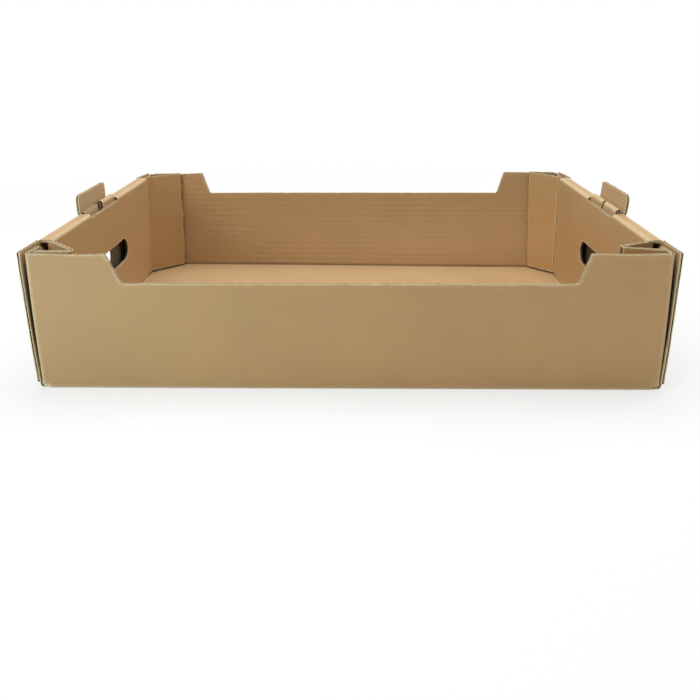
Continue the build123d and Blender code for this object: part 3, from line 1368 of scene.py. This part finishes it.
@dataclass
class TuckedFlap:
    """Flap on the end of the front or rear wall, tucked into an end wall, with its tongue.

    Args:
        sizes: Sizes of the tray.
        end: -1 for the left end, 1 for the right.
        side: -1 for the front wall, 1 for the rear.
        lipped: True if the tongue is folded over, False if it stands upright.
    """

    sizes: TraySizes
    end: int
    side: int
    lipped: bool

    def strips(self) -> list[Strip]:
        """Strips of board of this sub-assembly."""
        return [self.flap(), self.tongue()]

    def flap(self) -> Strip:
        """Upright fold at the corner and the flap behind it.

        Returns:
            The strip, with room for the hand hole and the slot at its far end.
        """
        z, side = self.sizes, self.side
        half, foot = z.board.half, z.loose_foot
        corner = Vector((z.flap_x(foot) - half, z.side_y(side, foot) - half))
        far = z.tab_middle + side * z.flap_meet / 2
        points = [(corner.x - z.fold_room + half, corner.y), corner, (corner.x, side * far)]
        path = FoldPath(points, z.board.fold_middle)

        def across(y: float, height: float) -> float:
            """Length along the path of a place on the flap."""
            return path.spot(1, z.side_y(side, height) - half - side * y)

        top, tuck = z.side_height, z.end_height - z.flap_drop
        root = tuck - z.board.thick
        shoulder_y = side * (z.side_half_top - z.flap_shoulder)
        tongue_y = z.tab_middle + side * (z.flap_meet / 2 + z.tongue_length)
        slot = z.tab_length / 2 + z.slot_spare + z.floor_gap
        slot_y, slot_z = z.tab_middle + side * slot, z.slot_height + z.floor_gap
        hand_r = z.hand_height / 2 + z.flap_hand_room
        hand_y = z.middle + side * (z.hand_length / 2 + z.flap_hand_room)
        places = [
            (shoulder_y, top, z.flap_round),
            (shoulder_y - side * z.flap_round, tuck, z.tuck_round),
            (tongue_y, tuck, 0.0),
            (tongue_y, root, 0.0),
            (far, root, 0.0),
            (far, z.hand_middle + hand_r, z.nick_round),
            (hand_y, z.hand_middle + hand_r, hand_r - z.round_ease),
            (hand_y, z.hand_middle - hand_r, hand_r - z.round_ease),
            (far, z.hand_middle - hand_r, z.nick_round),
            (far, slot_z, z.nick_round),
            (slot_y, slot_z, 0.0),
            (slot_y, foot, z.nick_round),
        ]
        corners = [Corner(0.0, 0.0, raw=False), Corner(0.0, top - foot)]
        corners += [Corner(across(y, height), height - foot, radius) for y, height, radius in places]
        return Strip(z.board, path, corner_plane(z, self.end, side, foot), corners, inside=-1)

    def tongue(self) -> Strip:
        """Tongue on the end of the flap, standing in the opening of the strip.

        Returns:
            The strip, rolled over into the hollow if it is lipped.
        """
        z, side = self.sizes, self.side
        half = z.board.half
        root = z.end_height - z.flap_drop - z.board.thick
        crest = z.end_height + (z.tongue_peak if self.lipped else z.tongue_upright)
        crest_x = z.end_x(crest) - 3 * half - 3 * z.slip
        points = [(z.flap_x(root) - half, root), (crest_x, crest)]
        if self.lipped:
            lip_x = crest_x - z.tongue_reach
            points.append((lip_x, crest - z.tongue_fall))
            points.append((lip_x, z.end_height - z.strip_drop - z.tongue_tuck))
        path = FoldPath(points, z.tongue_bend + half)
        near = z.tab_middle + side * z.flap_meet / 2
        far = near + side * z.tongue_length
        corners = [
            Corner(0.0, near),
            Corner(path.total, near, z.nick_round),
            Corner(path.total, far, z.nick_round),
            Corner(0.0, far, raw=False),
        ]
        return Strip(z.board, path, end_plane(self.end), corners, flutes=FluteRun.ACROSS)


@dataclass
class CornerPost:
    """Corner post: a slanted flap from the inner panel to the wall, and a flap back along the wall.

    Args:
        sizes: Sizes of the tray.
        end: -1 for the left end, 1 for the right.
        side: -1 for the front wall, 1 for the rear.
        run: Run of the slanted flap along X.
        sprung: Distance by which the post has sprung off the wall.
        torn: How far its half-cut fold wanders.
        slit_folds: Folds that are cut through in dashes: 0 at the inner panel, 1 at the wall.
    """

    sizes: TraySizes
    end: int
    side: int
    run: float
    sprung: float = 0.0
    torn: float = 0.5
    slit_folds: tuple[int, ...] = (1,)
    fold_wear_and_shade_share: ClassVar[float] = 0.1
    fine_step: ClassVar[float] = 3.5

    def strips(self) -> list[Strip]:
        """Strips of board of this sub-assembly.

        Returns:
            One strip, from the inner panel's seam to the flap's end at the wall.
        """
        z = self.sizes
        half, foot = z.board.half, z.panel_foot
        inner = z.inner_x(foot) + half
        wall = z.side_y(self.side, foot) - 3 * half - z.slip
        root = self.side * z.root_y(self.side, foot)
        points = [
            (inner, root - z.strip_gap),
            (inner, root),
            (inner - self.run, wall - self.sprung),
            (z.flap_x(foot) - z.board.thick - z.post_spare, wall - self.sprung * z.post_settle),
        ]
        path = FoldPath(points, z.board.fold_middle)
        rise = z.end_height + z.post_rise - foot
        corners = [
            Corner(0.0, rise, raw=False),
            Corner(0.0, 0.0),
            Corner(path.total, 0.0, z.slot_round),
            Corner(path.total, rise, z.slot_round),
        ]
        plane = corner_plane(z, self.end, self.side, foot)
        return [Strip(
            z.board, path, plane, corners, flutes=FluteRun.ACROSS, inside=-1, slit_folds=self.slit_folds,
            torn_fold=1, torn=self.torn, fold_wear_and_shade_share=self.fold_wear_and_shade_share, step=self.fine_step,
        )]


Part = TrayBody | EndWall | TuckedFlap | CornerPost


BULGES = (
    # Top of the front wall, sunk at its left and right end
    Bulge((-245.0, -198.0, 137.0), (45.0, 12.0, 30.0), (0.0, 0.0, -1.8)),
    Bulge((245.0, -198.0, 137.0), (45.0, 12.0, 30.0), (0.0, 0.0, -0.9)),
    # Rear corners, sunk at their tops
    Bulge((-275.0, 197.0, 137.0), (60.0, 30.0, 50.0), (0.0, 0.0, -3.0)),
    Bulge((292.0, 197.0, 137.0), (40.0, 30.0, 50.0), (0.0, 0.0, -1.2)),
    # Rear left post, leaning to the end wall
    Bulge((-245.0, 180.0, 137.0), (30.0, 30.0, 60.0), (-2.0, 0.0, 0.0)),
    # Right tab, leaning out
    Bulge((300.0, -20.0, 152.0), (20.0, 80.0, 16.0), (1.8, -1.0, 1.0)),
    # Foot of the rear wall, bowed in
    Bulge((260.0, 190.0, 0.0), (330.0, 50.0, 60.0), (0.0, -13.0, 0.0)),
    # Folds of the rear flaps, pressed out into the corners, and the outer panels' ends, pressed in on them
    Bulge((-290.0, 200.0, 137.0), (6.0, 10.0, 45.0), (-3.8, 0.0, 0.0)),
    Bulge((290.0, 200.0, 137.0), (6.0, 10.0, 45.0), (3.8, 0.0, 0.0)),
    Bulge((-299.0, 200.0, 137.0), (5.0, 10.0, 40.0), (2.6, 0.0, 0.0)),
    Bulge((299.0, 200.0, 137.0), (5.0, 10.0, 40.0), (-2.6, 0.0, 0.0)),
    # Folds of the front flaps, pushed out
    Bulge((-291.0, -200.0, 60.0), (10.0, 14.0, 110.0), (-2.4, 0.0, 0.0)),
    Bulge((291.0, -200.0, 35.0), (10.0, 14.0, 100.0), (3.0, 0.0, 0.0)),
    # Foot of the right inner panel, bowed into the tray
    Bulge((283.0, 130.0, 0.0), (20.0, 120.0, 70.0), (-4.0, 0.0, 0.0)),
)


def bent(place: Vector) -> Vector:
    """Offset of the whole tray's board from its flat shape at a place."""
    return sum((bulge.at(place) for bulge in BULGES), Vector())


def linear(red: int, green: int, blue: int) -> Colour:
    """Linear colour of a display colour.

    Args:
        red: Red from 0 to 255.
        green: Green from 0 to 255.
        blue: Blue from 0 to 255.

    Returns:
        The colour as a shader takes it.
    """
    parts = [value / 255 for value in (red, green, blue)]
    shades = [p / 12.92 if p <= 0.04045 else ((p + 0.055) / 1.055) ** 2.4 for p in parts]
    return (*shades, 1.0)


class NodeTree:
    """Short way to lay out shader nodes in a tree."""

    def __init__(self, tree: bpy.types.NodeTree) -> None:
        """Keeps the tree that takes the nodes."""
        self.tree = tree

    def add(self, kind: str, values: dict[str | int, Any] | None = None, **settings: Any) -> bpy.types.Node:
        """Adds a node.

        Args:
            kind: Blender's name of the node type.
            values: Socket names or numbers with a constant or an output socket for each.
            **settings: Properties of the node.

        Returns:
            The new node.
        """
        node = self.tree.nodes.new(kind)
        for key, value in settings.items():
            setattr(node, key, value)
        for key, value in (values or {}).items():
            if isinstance(value, Socket):
                self.tree.links.new(value, node.inputs[key])
            else:
                node.inputs[key].default_value = value
        return node

    def link(self, source: Socket, target: Socket) -> None:
        """Links an output to an input."""
        self.tree.links.new(source, target)

    def math(self, operation: str, first: Number, second: Number = 0.0, third: Number = 0.0) -> Socket:
        """Output of a Math node on up to three numbers or sockets."""
        return self.add("ShaderNodeMath", {0: first, 1: second, 2: third}, operation=operation).outputs[0]

    def mix(self, share: Number, first: Paint, second: Paint, blend: str = "MIX") -> Socket:
        """Output of a Mix node between two colours."""
        values = {"Factor": share, 6: first, 7: second}
        return self.add("ShaderNodeMix", values, data_type="RGBA", blend_type=blend).outputs[2]

    def toned(self, colour: Paint, tone: Socket) -> Socket:
        """Colour multiplied by a grey tone."""
        grey = self.add("ShaderNodeCombineColor", {0: tone, 1: tone, 2: tone}).outputs[0]
        return self.mix(1.0, colour, grey, "MULTIPLY")

    def ramp(self, value: Socket, start: Spot, result: Spot = (0.0, 1.0)) -> Socket:
        """Value brought from one range to another and kept within it."""
        values = {0: value, 1: start[0], 2: start[1], 3: result[0], 4: result[1]}
        return self.add("ShaderNodeMapRange", values).outputs[0]

    def noise(self, vector: Socket, scale: float, detail: float = 2.0) -> Socket:
        """Value of a Noise Texture node at a place."""
        node = self.add("ShaderNodeTexNoise", {"Vector": vector, "Scale": scale, "Detail": detail})
        return node.outputs["Fac"]

    def sheet(self, across: Socket, along: Socket, stretch: Triple) -> Socket:
        """Place on the flat sheet, stretched across and along its flutes."""
        flat = self.add("ShaderNodeCombineXYZ", {0: across, 1: along, 2: 0.0}).outputs[0]
        return self.add("ShaderNodeVectorMath", {0: flat, 1: stretch}, operation="MULTIPLY").outputs[0]

    def place(self) -> Socket:
        """Place of the surface in the tray's frame, in metres."""
        return self.add("ShaderNodeNewGeometry").outputs["Position"]

    def value(self, name: str) -> Socket:
        """Surface value that the mesh stores under a name."""
        return self.add("ShaderNodeAttribute", attribute_name=name).outputs["Fac"]


def new_group(
    name: str, inputs: dict[str, str], outputs: dict[str, str],
) -> tuple[NodeTree, dict[str, Socket], dict[str, Socket]]:
    """Starts a shader node group.

    Args:
        name: Name of the group.
        inputs: Names and socket types of its inputs.
        outputs: Names and socket types of its outputs.

    Returns:
        The tree, its input sockets by name and its output sockets by name.
    """
    tree = bpy.data.node_groups.new(name, "ShaderNodeTree")
    for key, kind in inputs.items():
        tree.interface.new_socket(key, in_out="INPUT", socket_type=kind)
    for key, kind in outputs.items():
        tree.interface.new_socket(key, in_out="OUTPUT", socket_type=kind)
    nodes = NodeTree(tree)
    source = nodes.add("NodeGroupInput")
    sink = nodes.add("NodeGroupOutput")
    return nodes, {key: source.outputs[key] for key in inputs}, {key: sink.inputs[key] for key in outputs}


@dataclass(frozen=True)
class KraftFibres:
    """Kraft paper: clouds, fibres along the sheet, fine grain and small dark specks.

    Args:
        cloud_scale: Scale of the clouds, for each metre.
        cloud_tone: How far the clouds change the paper's tone.
        stretch: How the sheet is stretched, so that the fibres run along it.
        fibre_scale: Scale of the fibres on that sheet.
        fibre_tone: How far the fibres change the tone.
        grain_scale: Scale of the grain, for each metre.
        grain_tone: How far the grain changes the tone.
        speck_scale: Scale of the specks, for each metre.
        speck_range: Noise values between which a speck appears.
        speck_share: How strong a speck is at most.
        speck_colour: Colour of the specks.
    """

    cloud_scale: float = 16.0
    cloud_tone: float = 0.16
    stretch: Triple = (0.5, 0.03, 1.0)
    fibre_scale: float = 1.1
    fibre_tone: float = 0.12
    grain_scale: float = 900.0
    grain_tone: float = 0.10
    speck_scale: float = 420.0
    speck_range: Spot = (0.70, 0.80)
    speck_share: float = 0.15
    speck_colour: Tint = (96, 66, 36)

    def group(self) -> bpy.types.NodeTree:
        """Makes the node group.

        Returns:
            Group that takes the sheet's coordinates and a colour, and gives the paper's colour and height.
        """
        nodes, given, made = new_group(
            "kraft fibres",
            {"Across": "NodeSocketFloat", "Along": "NodeSocketFloat", "Colour": "NodeSocketColor"},
            {"Colour": "NodeSocketColor", "Height": "NodeSocketFloat"},
        )
        place = nodes.place()
        clouds = nodes.noise(place, self.cloud_scale, 3.0)
        sheet = nodes.sheet(given["Across"], given["Along"], self.stretch)
        fibres = nodes.noise(sheet, self.fibre_scale, 4.0)
        grain = nodes.noise(place, self.grain_scale, 2.0)
        speck = nodes.noise(place, self.speck_scale, 1.0)
        tone = nodes.math("MULTIPLY_ADD", clouds, self.cloud_tone, 1.0 - self.cloud_tone / 2)
        for value, share in ((fibres, self.fibre_tone), (grain, self.grain_tone)):
            tone = nodes.math("MULTIPLY_ADD", nodes.math("SUBTRACT", value, 0.5), share, tone)
        dark = nodes.ramp(speck, self.speck_range, (0.0, self.speck_share))
        specked = nodes.mix(dark, nodes.toned(given["Colour"], tone), linear(*self.speck_colour))
        nodes.link(specked, made["Colour"])
        height = nodes.math("ADD", nodes.math("MULTIPLY", fibres, 0.5), nodes.math("MULTIPLY", grain, 0.5))
        nodes.link(height, made["Height"])
        return nodes.tree


@dataclass(frozen=True)
class Washboard:
    """Flutes that show through the liner as faint ridges, with painted shade in the troughs between them.

    Args:
        pitch: Distance from flute to flute.
        stretch: How the sheet is stretched, so that ridges stay alike along the flutes.
        scale: Scale of their unevenness on that sheet.
        drift: How far they wander, as an angle of their wave.
        uneven: Noise values between which they grow.
        strength: Their least and greatest height.
    """

    pitch: float
    stretch: Triple = (1.0, 0.12, 1.0)
    scale: float = 0.06
    drift: float = 2.4
    uneven: Spot = (0.35, 0.65)
    strength: Spot = (0.15, 1.6)

    def group(self) -> bpy.types.NodeTree:
        """Makes the node group.

        Returns:
            Group that takes the sheet's coordinates and gives the ridges' height and the painted shade of
            their troughs.
        """
        nodes, given, made = new_group(
            "washboard",
            {"Across": "NodeSocketFloat", "Along": "NodeSocketFloat"},
            {"Height": "NodeSocketFloat", "Trough Shade": "NodeSocketFloat"},
        )
        uneven = nodes.noise(nodes.sheet(given["Across"], given["Along"], self.stretch), self.scale, 3.0)
        drift = nodes.math("MULTIPLY", nodes.math("SUBTRACT", uneven, 0.5), self.drift)
        phase = nodes.math("MULTIPLY_ADD", given["Across"], 2 * math.pi / self.pitch, drift)
        strength = nodes.ramp(uneven, self.uneven, self.strength)
        height = nodes.math("MULTIPLY", nodes.math("SINE", phase), strength)
        nodes.link(height, made["Height"])
        nodes.link(nodes.math("MULTIPLY_ADD", height, 0.5, 0.5), made["Trough Shade"])
        return nodes.tree


@dataclass(frozen=True)
class Finish:
    """Finish of one skin of the board.

    Args:
        name: Name of the material.
        colour: Colour of the paper as it shows under white light, from 0 to 255.
        roughness: Roughness of the surface.
        gloss: Strength of its reflections.
        sheen: Strength of the light that its fibres scatter at a low angle.
        ridges: How far the troughs between the flutes' ridges are darkened as painted shade.
        relief: Height of the flutes' ridges, in metres.
        nap: Height of the paper's fibres, in metres.
        worn: Colour of fibres laid open at cut edges.
        fold_wear_and_shade_colour: Colour in the folds, pale for worn fibres and dark for painted shade.
        wear_and_fold_shade: How strongly worn edges, and folds with their wear and painted shade, differ from
            the rest.
        fold_fade: Power by which the folds' colour fades beside them.
        slits: True if it has folds that are cut through in dashes.
        slit_colour: Colour that shows in the slits.
        shaded: Colour of the painted shade deep in a hollow.
        shade: How strongly the painted shade darkens the paper there.
    """

    name: str
    colour: Tint
    roughness: float
    gloss: float = 0.3
    sheen: float = 0.0
    ridges: float = 0.0
    relief: float = 0.0
    nap: float = 0.00004
    worn: Tint = (226, 203, 160)
    fold_wear_and_shade_colour: Tint = (226, 203, 160)
    wear_and_fold_shade: float = 0.0
    fold_fade: float = 1.5
    slits: bool = False
    slit_colour: Tint = (84, 57, 33)
    shaded: Tint = (38, 27, 17)
    shade: float = 0.85
    # Patches in which edges and folds are worn, and in which the painted shade of the inside liner's folds
    # varies
    edge_fade: ClassVar[float] = 3.0
    patch_scale: ClassVar[float] = 160.0
    patch_range: ClassVar[Spot] = (0.3, 0.62)
    patch_share: ClassVar[float] = 0.35
    # Dashes of the slits, their torn rims and their cuts
    dash_length: ClassVar[float] = 27.0
    dash_range: ClassVar[Spot] = (-0.45, 0.1)
    dash_share: ClassVar[float] = 0.95
    dash_drift: ClassVar[float] = 8.0
    drift_scale: ClassVar[float] = 40.0
    rim_range: ClassVar[Spot] = (0.0, 0.25)
    rim_share: ClassVar[float] = 0.55
    cut_range: ClassVar[Spot] = (0.34, 0.5)

    def material(self, fibres: bpy.types.NodeTree, washboard: bpy.types.NodeTree) -> bpy.types.Material:
        """Makes the material.

        Args:
            fibres: Node group of the paper's fibres.
            washboard: Node group of the flutes that show through.

        Returns:
            The new material.
        """
        material = bpy.data.materials.new(self.name)
        material.use_nodes = True
        nodes = NodeTree(material.node_tree)
        shader = material.node_tree.nodes["Principled BSDF"]
        sheet = {"Across": nodes.value("across"), "Along": nodes.value("along")}
        paper = nodes.add("ShaderNodeGroup", node_tree=fibres)
        for key, socket in sheet.items():
            nodes.link(socket, paper.inputs[key])
        paper.inputs["Colour"].default_value = linear(*self.colour)
        colour = paper.outputs["Colour"]
        height = nodes.math("MULTIPLY", paper.outputs["Height"], self.nap)
        if self.relief:
            ridged = nodes.add("ShaderNodeGroup", node_tree=washboard)
            for key, socket in sheet.items():
                nodes.link(socket, ridged.inputs[key])
            # Painted shade: the troughs between the flutes' ridges are darkened.
            tone = nodes.math("MULTIPLY_ADD", ridged.outputs["Trough Shade"], self.ridges, 1.0 - self.ridges)
            colour = nodes.toned(colour, tone)
            height = nodes.math("MULTIPLY_ADD", ridged.outputs["Height"], self.relief, height)
        if self.wear_and_fold_shade:
            colour = self.worn_and_shaded_colour(nodes, colour)
        if self.slits:
            colour = self.slit_through(nodes, colour, sheet["Along"])
        # Painted shade: deep in the end walls' hollows the colour is darkened towards the shaded colour.
        depth = nodes.math("MULTIPLY", nodes.value("shade"), self.shade)
        colour = nodes.mix(depth, colour, linear(*self.shaded))
        nodes.link(colour, shader.inputs["Base Color"])
        bump = nodes.add("ShaderNodeBump", {"Height": height, "Distance": 1.0})
        nodes.link(bump.outputs["Normal"], shader.inputs["Normal"])
        shader.inputs["Roughness"].default_value = self.roughness
        shader.inputs["Specular IOR Level"].default_value = self.gloss
        shader.inputs["Sheen Weight"].default_value = self.sheen
        return material

    def worn_and_shaded_colour(self, nodes: NodeTree, colour: Socket) -> Socket:
        """Colour with open fibres along the cut edges, and the fold colour in the folds: pale wear outside,
        painted shade inside.

        Args:
            nodes: Tree of the material.
            colour: Colour of the paper.

        Returns:
            The worn colour.
        """
        patches = nodes.ramp(nodes.noise(nodes.place(), self.patch_scale, 3.0), self.patch_range)
        even = nodes.math("MULTIPLY_ADD", patches, self.patch_share, 1.0 - self.patch_share)
        edge = nodes.math("POWER", nodes.value("edge"), self.edge_fade)
        rim = nodes.math("MULTIPLY", edge, self.wear_and_fold_shade)
        crease = nodes.math("POWER", nodes.value("crease"), self.fold_fade)
        fold = nodes.math("MULTIPLY", crease, self.wear_and_fold_shade)
        # Folds take the fold colour: pale wear on the outside liner, painted shade on the inside liner.
        folded = nodes.mix(nodes.math("MULTIPLY", fold, even), colour, linear(*self.fold_wear_and_shade_colour))
        return nodes.mix(nodes.math("MULTIPLY", rim, patches), folded, linear(*self.worn))

    def slit_through(self, nodes: NodeTree, colour: Socket, along: Socket) -> Socket:
        """Colour with dark dashes and torn pale rims where a fold is cut through.

        Args:
            nodes: Tree of the material.
            colour: Colour of the paper.
            along: Coordinate along the flutes.

        Returns:
            The colour with its slits.
        """
        drift = nodes.math("MULTIPLY", nodes.noise(nodes.place(), self.drift_scale), self.dash_drift)
        beat = nodes.math("SINE", nodes.math("MULTIPLY_ADD", along, 2 * math.pi / self.dash_length, drift))
        dash = nodes.ramp(beat, self.dash_range, (0.0, self.dash_share))
        near = nodes.value("slit")
        torn, cut = nodes.ramp(near, self.rim_range), nodes.ramp(near, self.cut_range)
        rim = nodes.math("MULTIPLY", torn, nodes.math("MULTIPLY", dash, self.rim_share))
        pale = nodes.mix(rim, colour, linear(*self.worn))
        return nodes.mix(nodes.math("MULTIPLY", cut, dash), pale, linear(*self.slit_colour))


FINISHES = {
    Skin.OUTSIDE: Finish(
        "kraft liner outside", (184, 143, 92), 0.5, gloss=0.55, sheen=0.08, ridges=0.015, relief=0.00002,
        wear_and_fold_shade=0.7, slits=True,
    ),
    # The inside liner's folds are dark: painted shade in the concave folds.
    Skin.INSIDE: Finish(
        "kraft liner inside", (188, 152, 108), 0.6, gloss=0.4, sheen=0.12, ridges=0.035, relief=0.00004,
        fold_wear_and_shade_colour=(80, 52, 29), wear_and_fold_shade=0.95, fold_fade=0.8,
    ),
    Skin.CUT: Finish("cut paper edge", (232, 210, 168), 0.9),
    # Fluting paper's colour, with the shade of the cavities between the liners painted into it.
    Skin.FLUTE: Finish("fluting paper and painted cavity shade", (88, 64, 39), 0.9),
}


@dataclass(frozen=True)
class Lamp:
    """Soft box of the studio.

    Args:
        name: Name of the lamp.
        place: Where it hangs, in metres.
        aim: Point that it faces, in metres.
        size: Width and height of the box, in metres.
        power: Power in watts.
        colour: Colour of its light.
    """

    name: str
    place: Triple
    aim: Triple
    size: Spot
    power: float
    colour: Triple

    def hang(self) -> None:
        """Adds the lamp to the scene."""
        data = bpy.data.lights.new(self.name, "AREA")
        data.shape = "RECTANGLE"
        data.size, data.size_y = self.size
        data.energy = self.power
        data.color = self.colour
        lamp = bpy.data.objects.new(self.name, data)
        lamp.location = self.place
        lamp.rotation_euler = (Vector(self.aim) - Vector(self.place)).to_track_quat("-Z", "Y").to_euler()
        bpy.context.scene.collection.objects.link(lamp)


@dataclass
class Studio:
    """White floor, soft light and the camera.

    Args:
        lamps: Soft boxes.
        ambient: Strength of the light from all round.
        floor_size: Length of the floor's sides, in metres.
        floor_grey: Grey of the floor where it shows its own colour.
        floor_rough: Roughness of the floor.
        floor_shade: Share of that grey that shows beside the tray.
        floor_fade: Distances from the centre between which the floor turns white, in metres.
        image_size: Width and height of the picture, in pixels.
        sensor: Width of the camera's sensor.
        focal: Focal length, in pixels.
        optical_row: Row of the picture that the lens faces.
        camera_place: Place of the camera, in metres.
        pitch: Angle by which the camera looks down.
        yaw: Angle by which it is turned to the right.
        roll: Angle by which it is tilted.
    """

    lamps: tuple[Lamp, ...] = (
        Lamp("top box", (-0.1, 0.2, 2.0), (0.0, 0.0, 0.06), (2.0, 1.6), 39.0, (0.95, 1.0, 0.98)),
        Lamp("front left box", (-1.2, -1.15, 0.85), (-0.15, 0.0, 0.07), (0.8, 0.8), 9.8, (1.0, 0.99, 0.93)),
        Lamp("low window", (-0.8, -0.85, 0.12), (-0.55, -0.2, 0.08), (0.4, 0.15), 2.5, (0.2, 0.68, 1.0)),
        Lamp("rear right box", (1.6, 0.7, 1.2), (-0.2, 0.0, 0.1), (1.0, 1.0), 11.0, (0.9, 1.0, 1.0)),
    )
    ambient: float = 0.22
    floor_size: float = 12.0
    floor_grey: float = 0.86
    floor_rough: float = 0.9
    floor_shade: float = 0.35
    floor_fade: Spot = (0.4, 1.1)
    image_size: float = 700.0
    sensor: float = 36.0
    focal: float = 716.0
    optical_row: float = 200.0
    camera_place: Triple = (0.0124, -0.8161, 0.3253)
    pitch: float = 12.79
    yaw: float = -0.94
    roll: float = -0.21

    def build(self) -> None:
        """Sets up the whole studio."""
        bpy.context.scene.view_settings.view_transform = "Standard"
        self.world()
        self.floor()
        for lamp in self.lamps:
            lamp.hang()
        self.camera()

    @staticmethod
    def seen_directly(nodes: NodeTree) -> Socket:
        """Tells rays that see a surface from light that it sends on.

        Args:
            nodes: Tree of a material or of the world.

        Returns:
            1 for rays that come straight, by a mirror or through glass, and 0 for others.
        """
        path = nodes.add("ShaderNodeLightPath")
        seen = nodes.math("MAXIMUM", path.outputs["Is Camera Ray"], path.outputs["Is Glossy Ray"])
        return nodes.math("MAXIMUM", seen, path.outputs["Is Transmission Ray"])

    def world(self) -> None:
        """White surroundings that light the tray evenly and weakly."""
        world = bpy.data.worlds.new("studio")
        bpy.context.scene.world = world
        world.use_nodes = True
        nodes = NodeTree(world.node_tree)
        background = world.node_tree.nodes["Background"]
        background.inputs["Color"].default_value = WHITE
        strength = nodes.math("MULTIPLY_ADD", self.seen_directly(nodes), 1.0 - self.ambient, self.ambient)
        nodes.link(strength, background.inputs["Strength"])

    def floor(self) -> None:
        """Pale floor that keeps a light shadow of the tray."""
        half = self.floor_size / 2
        corners = [(-half, -half, 0), (half, -half, 0), (half, half, 0), (-half, half, 0)]
        mesh = bpy.data.meshes.new("studio_floor")
        mesh.from_pydata(corners, [], [(0, 1, 2, 3)])
        mesh.materials.append(self.floor_material())
        floor = bpy.data.objects.new("studio_floor", mesh)
        bpy.context.scene.collection.objects.link(floor)

    def floor_material(self) -> bpy.types.Material:
        """Material of the floor.

        Returns:
            Grey in the tray's shadow, and white to the eye away from it.
        """
        material = bpy.data.materials.new("white floor")
        material.use_nodes = True
        nodes = NodeTree(material.node_tree)
        shader = material.node_tree.nodes["Principled BSDF"]
        shader.inputs["Base Color"].default_value = (self.floor_grey, self.floor_grey, self.floor_grey, 1.0)
        shader.inputs["Roughness"].default_value = self.floor_rough
        glow = nodes.add("ShaderNodeEmission", {"Color": WHITE, "Strength": 1.0})
        away = nodes.add("ShaderNodeVectorMath", {0: nodes.place()}, operation="LENGTH").outputs["Value"]
        bare = nodes.ramp(away, self.floor_fade, (1.0 - self.floor_shade, 1.0))
        share = nodes.math("MULTIPLY", self.seen_directly(nodes), bare)
        mixed = nodes.add("ShaderNodeMixShader", {0: share, 1: shader.outputs["BSDF"], 2: glow.outputs[0]})
        nodes.link(mixed.outputs[0], material.node_tree.nodes["Material Output"].inputs["Surface"])
        return material

    def camera(self) -> None:
        """Camera at the viewing angle of the photograph."""
        data = bpy.data.cameras.new("camera")
        data.sensor_width = self.sensor
        data.lens = self.focal / self.image_size * self.sensor
        data.shift_y = (self.optical_row - self.image_size / 2) / self.image_size
        camera = bpy.data.objects.new("camera", data)
        turned = Matrix.Rotation(math.radians(-self.yaw), 4, "Z")
        tilted = Matrix.Rotation(math.radians(90.0 - self.pitch), 4, "X")
        rolled = Matrix.Rotation(math.radians(self.roll), 4, "Z")
        camera.matrix_world = Matrix.Translation(self.camera_place) @ turned @ tilted @ rolled
        bpy.context.scene.collection.objects.link(camera)
        bpy.context.scene.camera = camera


@dataclass
class Tray:
    """The whole tray: the sub-assemblies of one sheet of board.

    Args:
        sizes: Sizes of the tray.
    """

    sizes: TraySizes = TraySizes()

    def parts(self) -> dict[str, Sequence[Part]]:
        """Lists the sub-assemblies, as each end and corner was folded up.

        Returns:
            Sub-assemblies of each piece, by the piece's name.
        """
        z = self.sizes
        grip = z.hand_length / 2
        return {
            "tray_floor_and_walls": [TrayBody(z)],
            "tray_end_left": [EndWall(z, end=-1, inner_hand=(3.0, grip), outer_hand=(0.0, 26.0))],
            "tray_end_right": [EndWall(z, end=1, inner_hand=(-9.0, grip), outer_hand=(-10.0, 22.0))],
            "tray_tucked_flaps": [
                TuckedFlap(z, end, side, lipped=end > 0 or side > 0) for end in (-1, 1) for side in (-1, 1)
            ],
            "tray_corner_posts": [
                CornerPost(z, end=-1, side=-1, run=36.0, sprung=2.0),
                CornerPost(z, end=1, side=-1, run=38.5, sprung=13.0),
                CornerPost(z, end=-1, side=1, run=42.0, torn=0.9),
                CornerPost(z, end=1, side=1, run=36.0, torn=0.7, slit_folds=(0, 1)),
            ],
        }

    def build(self) -> None:
        """Builds and dresses every piece and seats it on the frame."""
        fibres, washboard = KraftFibres().group(), Washboard(self.sizes.board.pitch).group()
        materials = [FINISHES[skin].material(fibres, washboard) for skin in Skin]
        form = Form(bent, self.sizes.hollow)
        for name, parts in self.parts().items():
            data = MeshData()
            for part in parts:
                for strip in part.strips():
                    strip.add_to(data, form)
            piece = data.build(name, materials)
            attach(piece, "root")
            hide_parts(NODE)
            LOG.info("%s: %d points, %d faces", name, len(data.points), len(data.faces))


def main() -> None:
    """Builds the studio and the tray in order."""
    logging.basicConfig(level=logging.INFO)
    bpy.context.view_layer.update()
    Studio().build()
    Tray().build()
    bpy.context.view_layer.update()


if __name__ == "__main__":
    main()
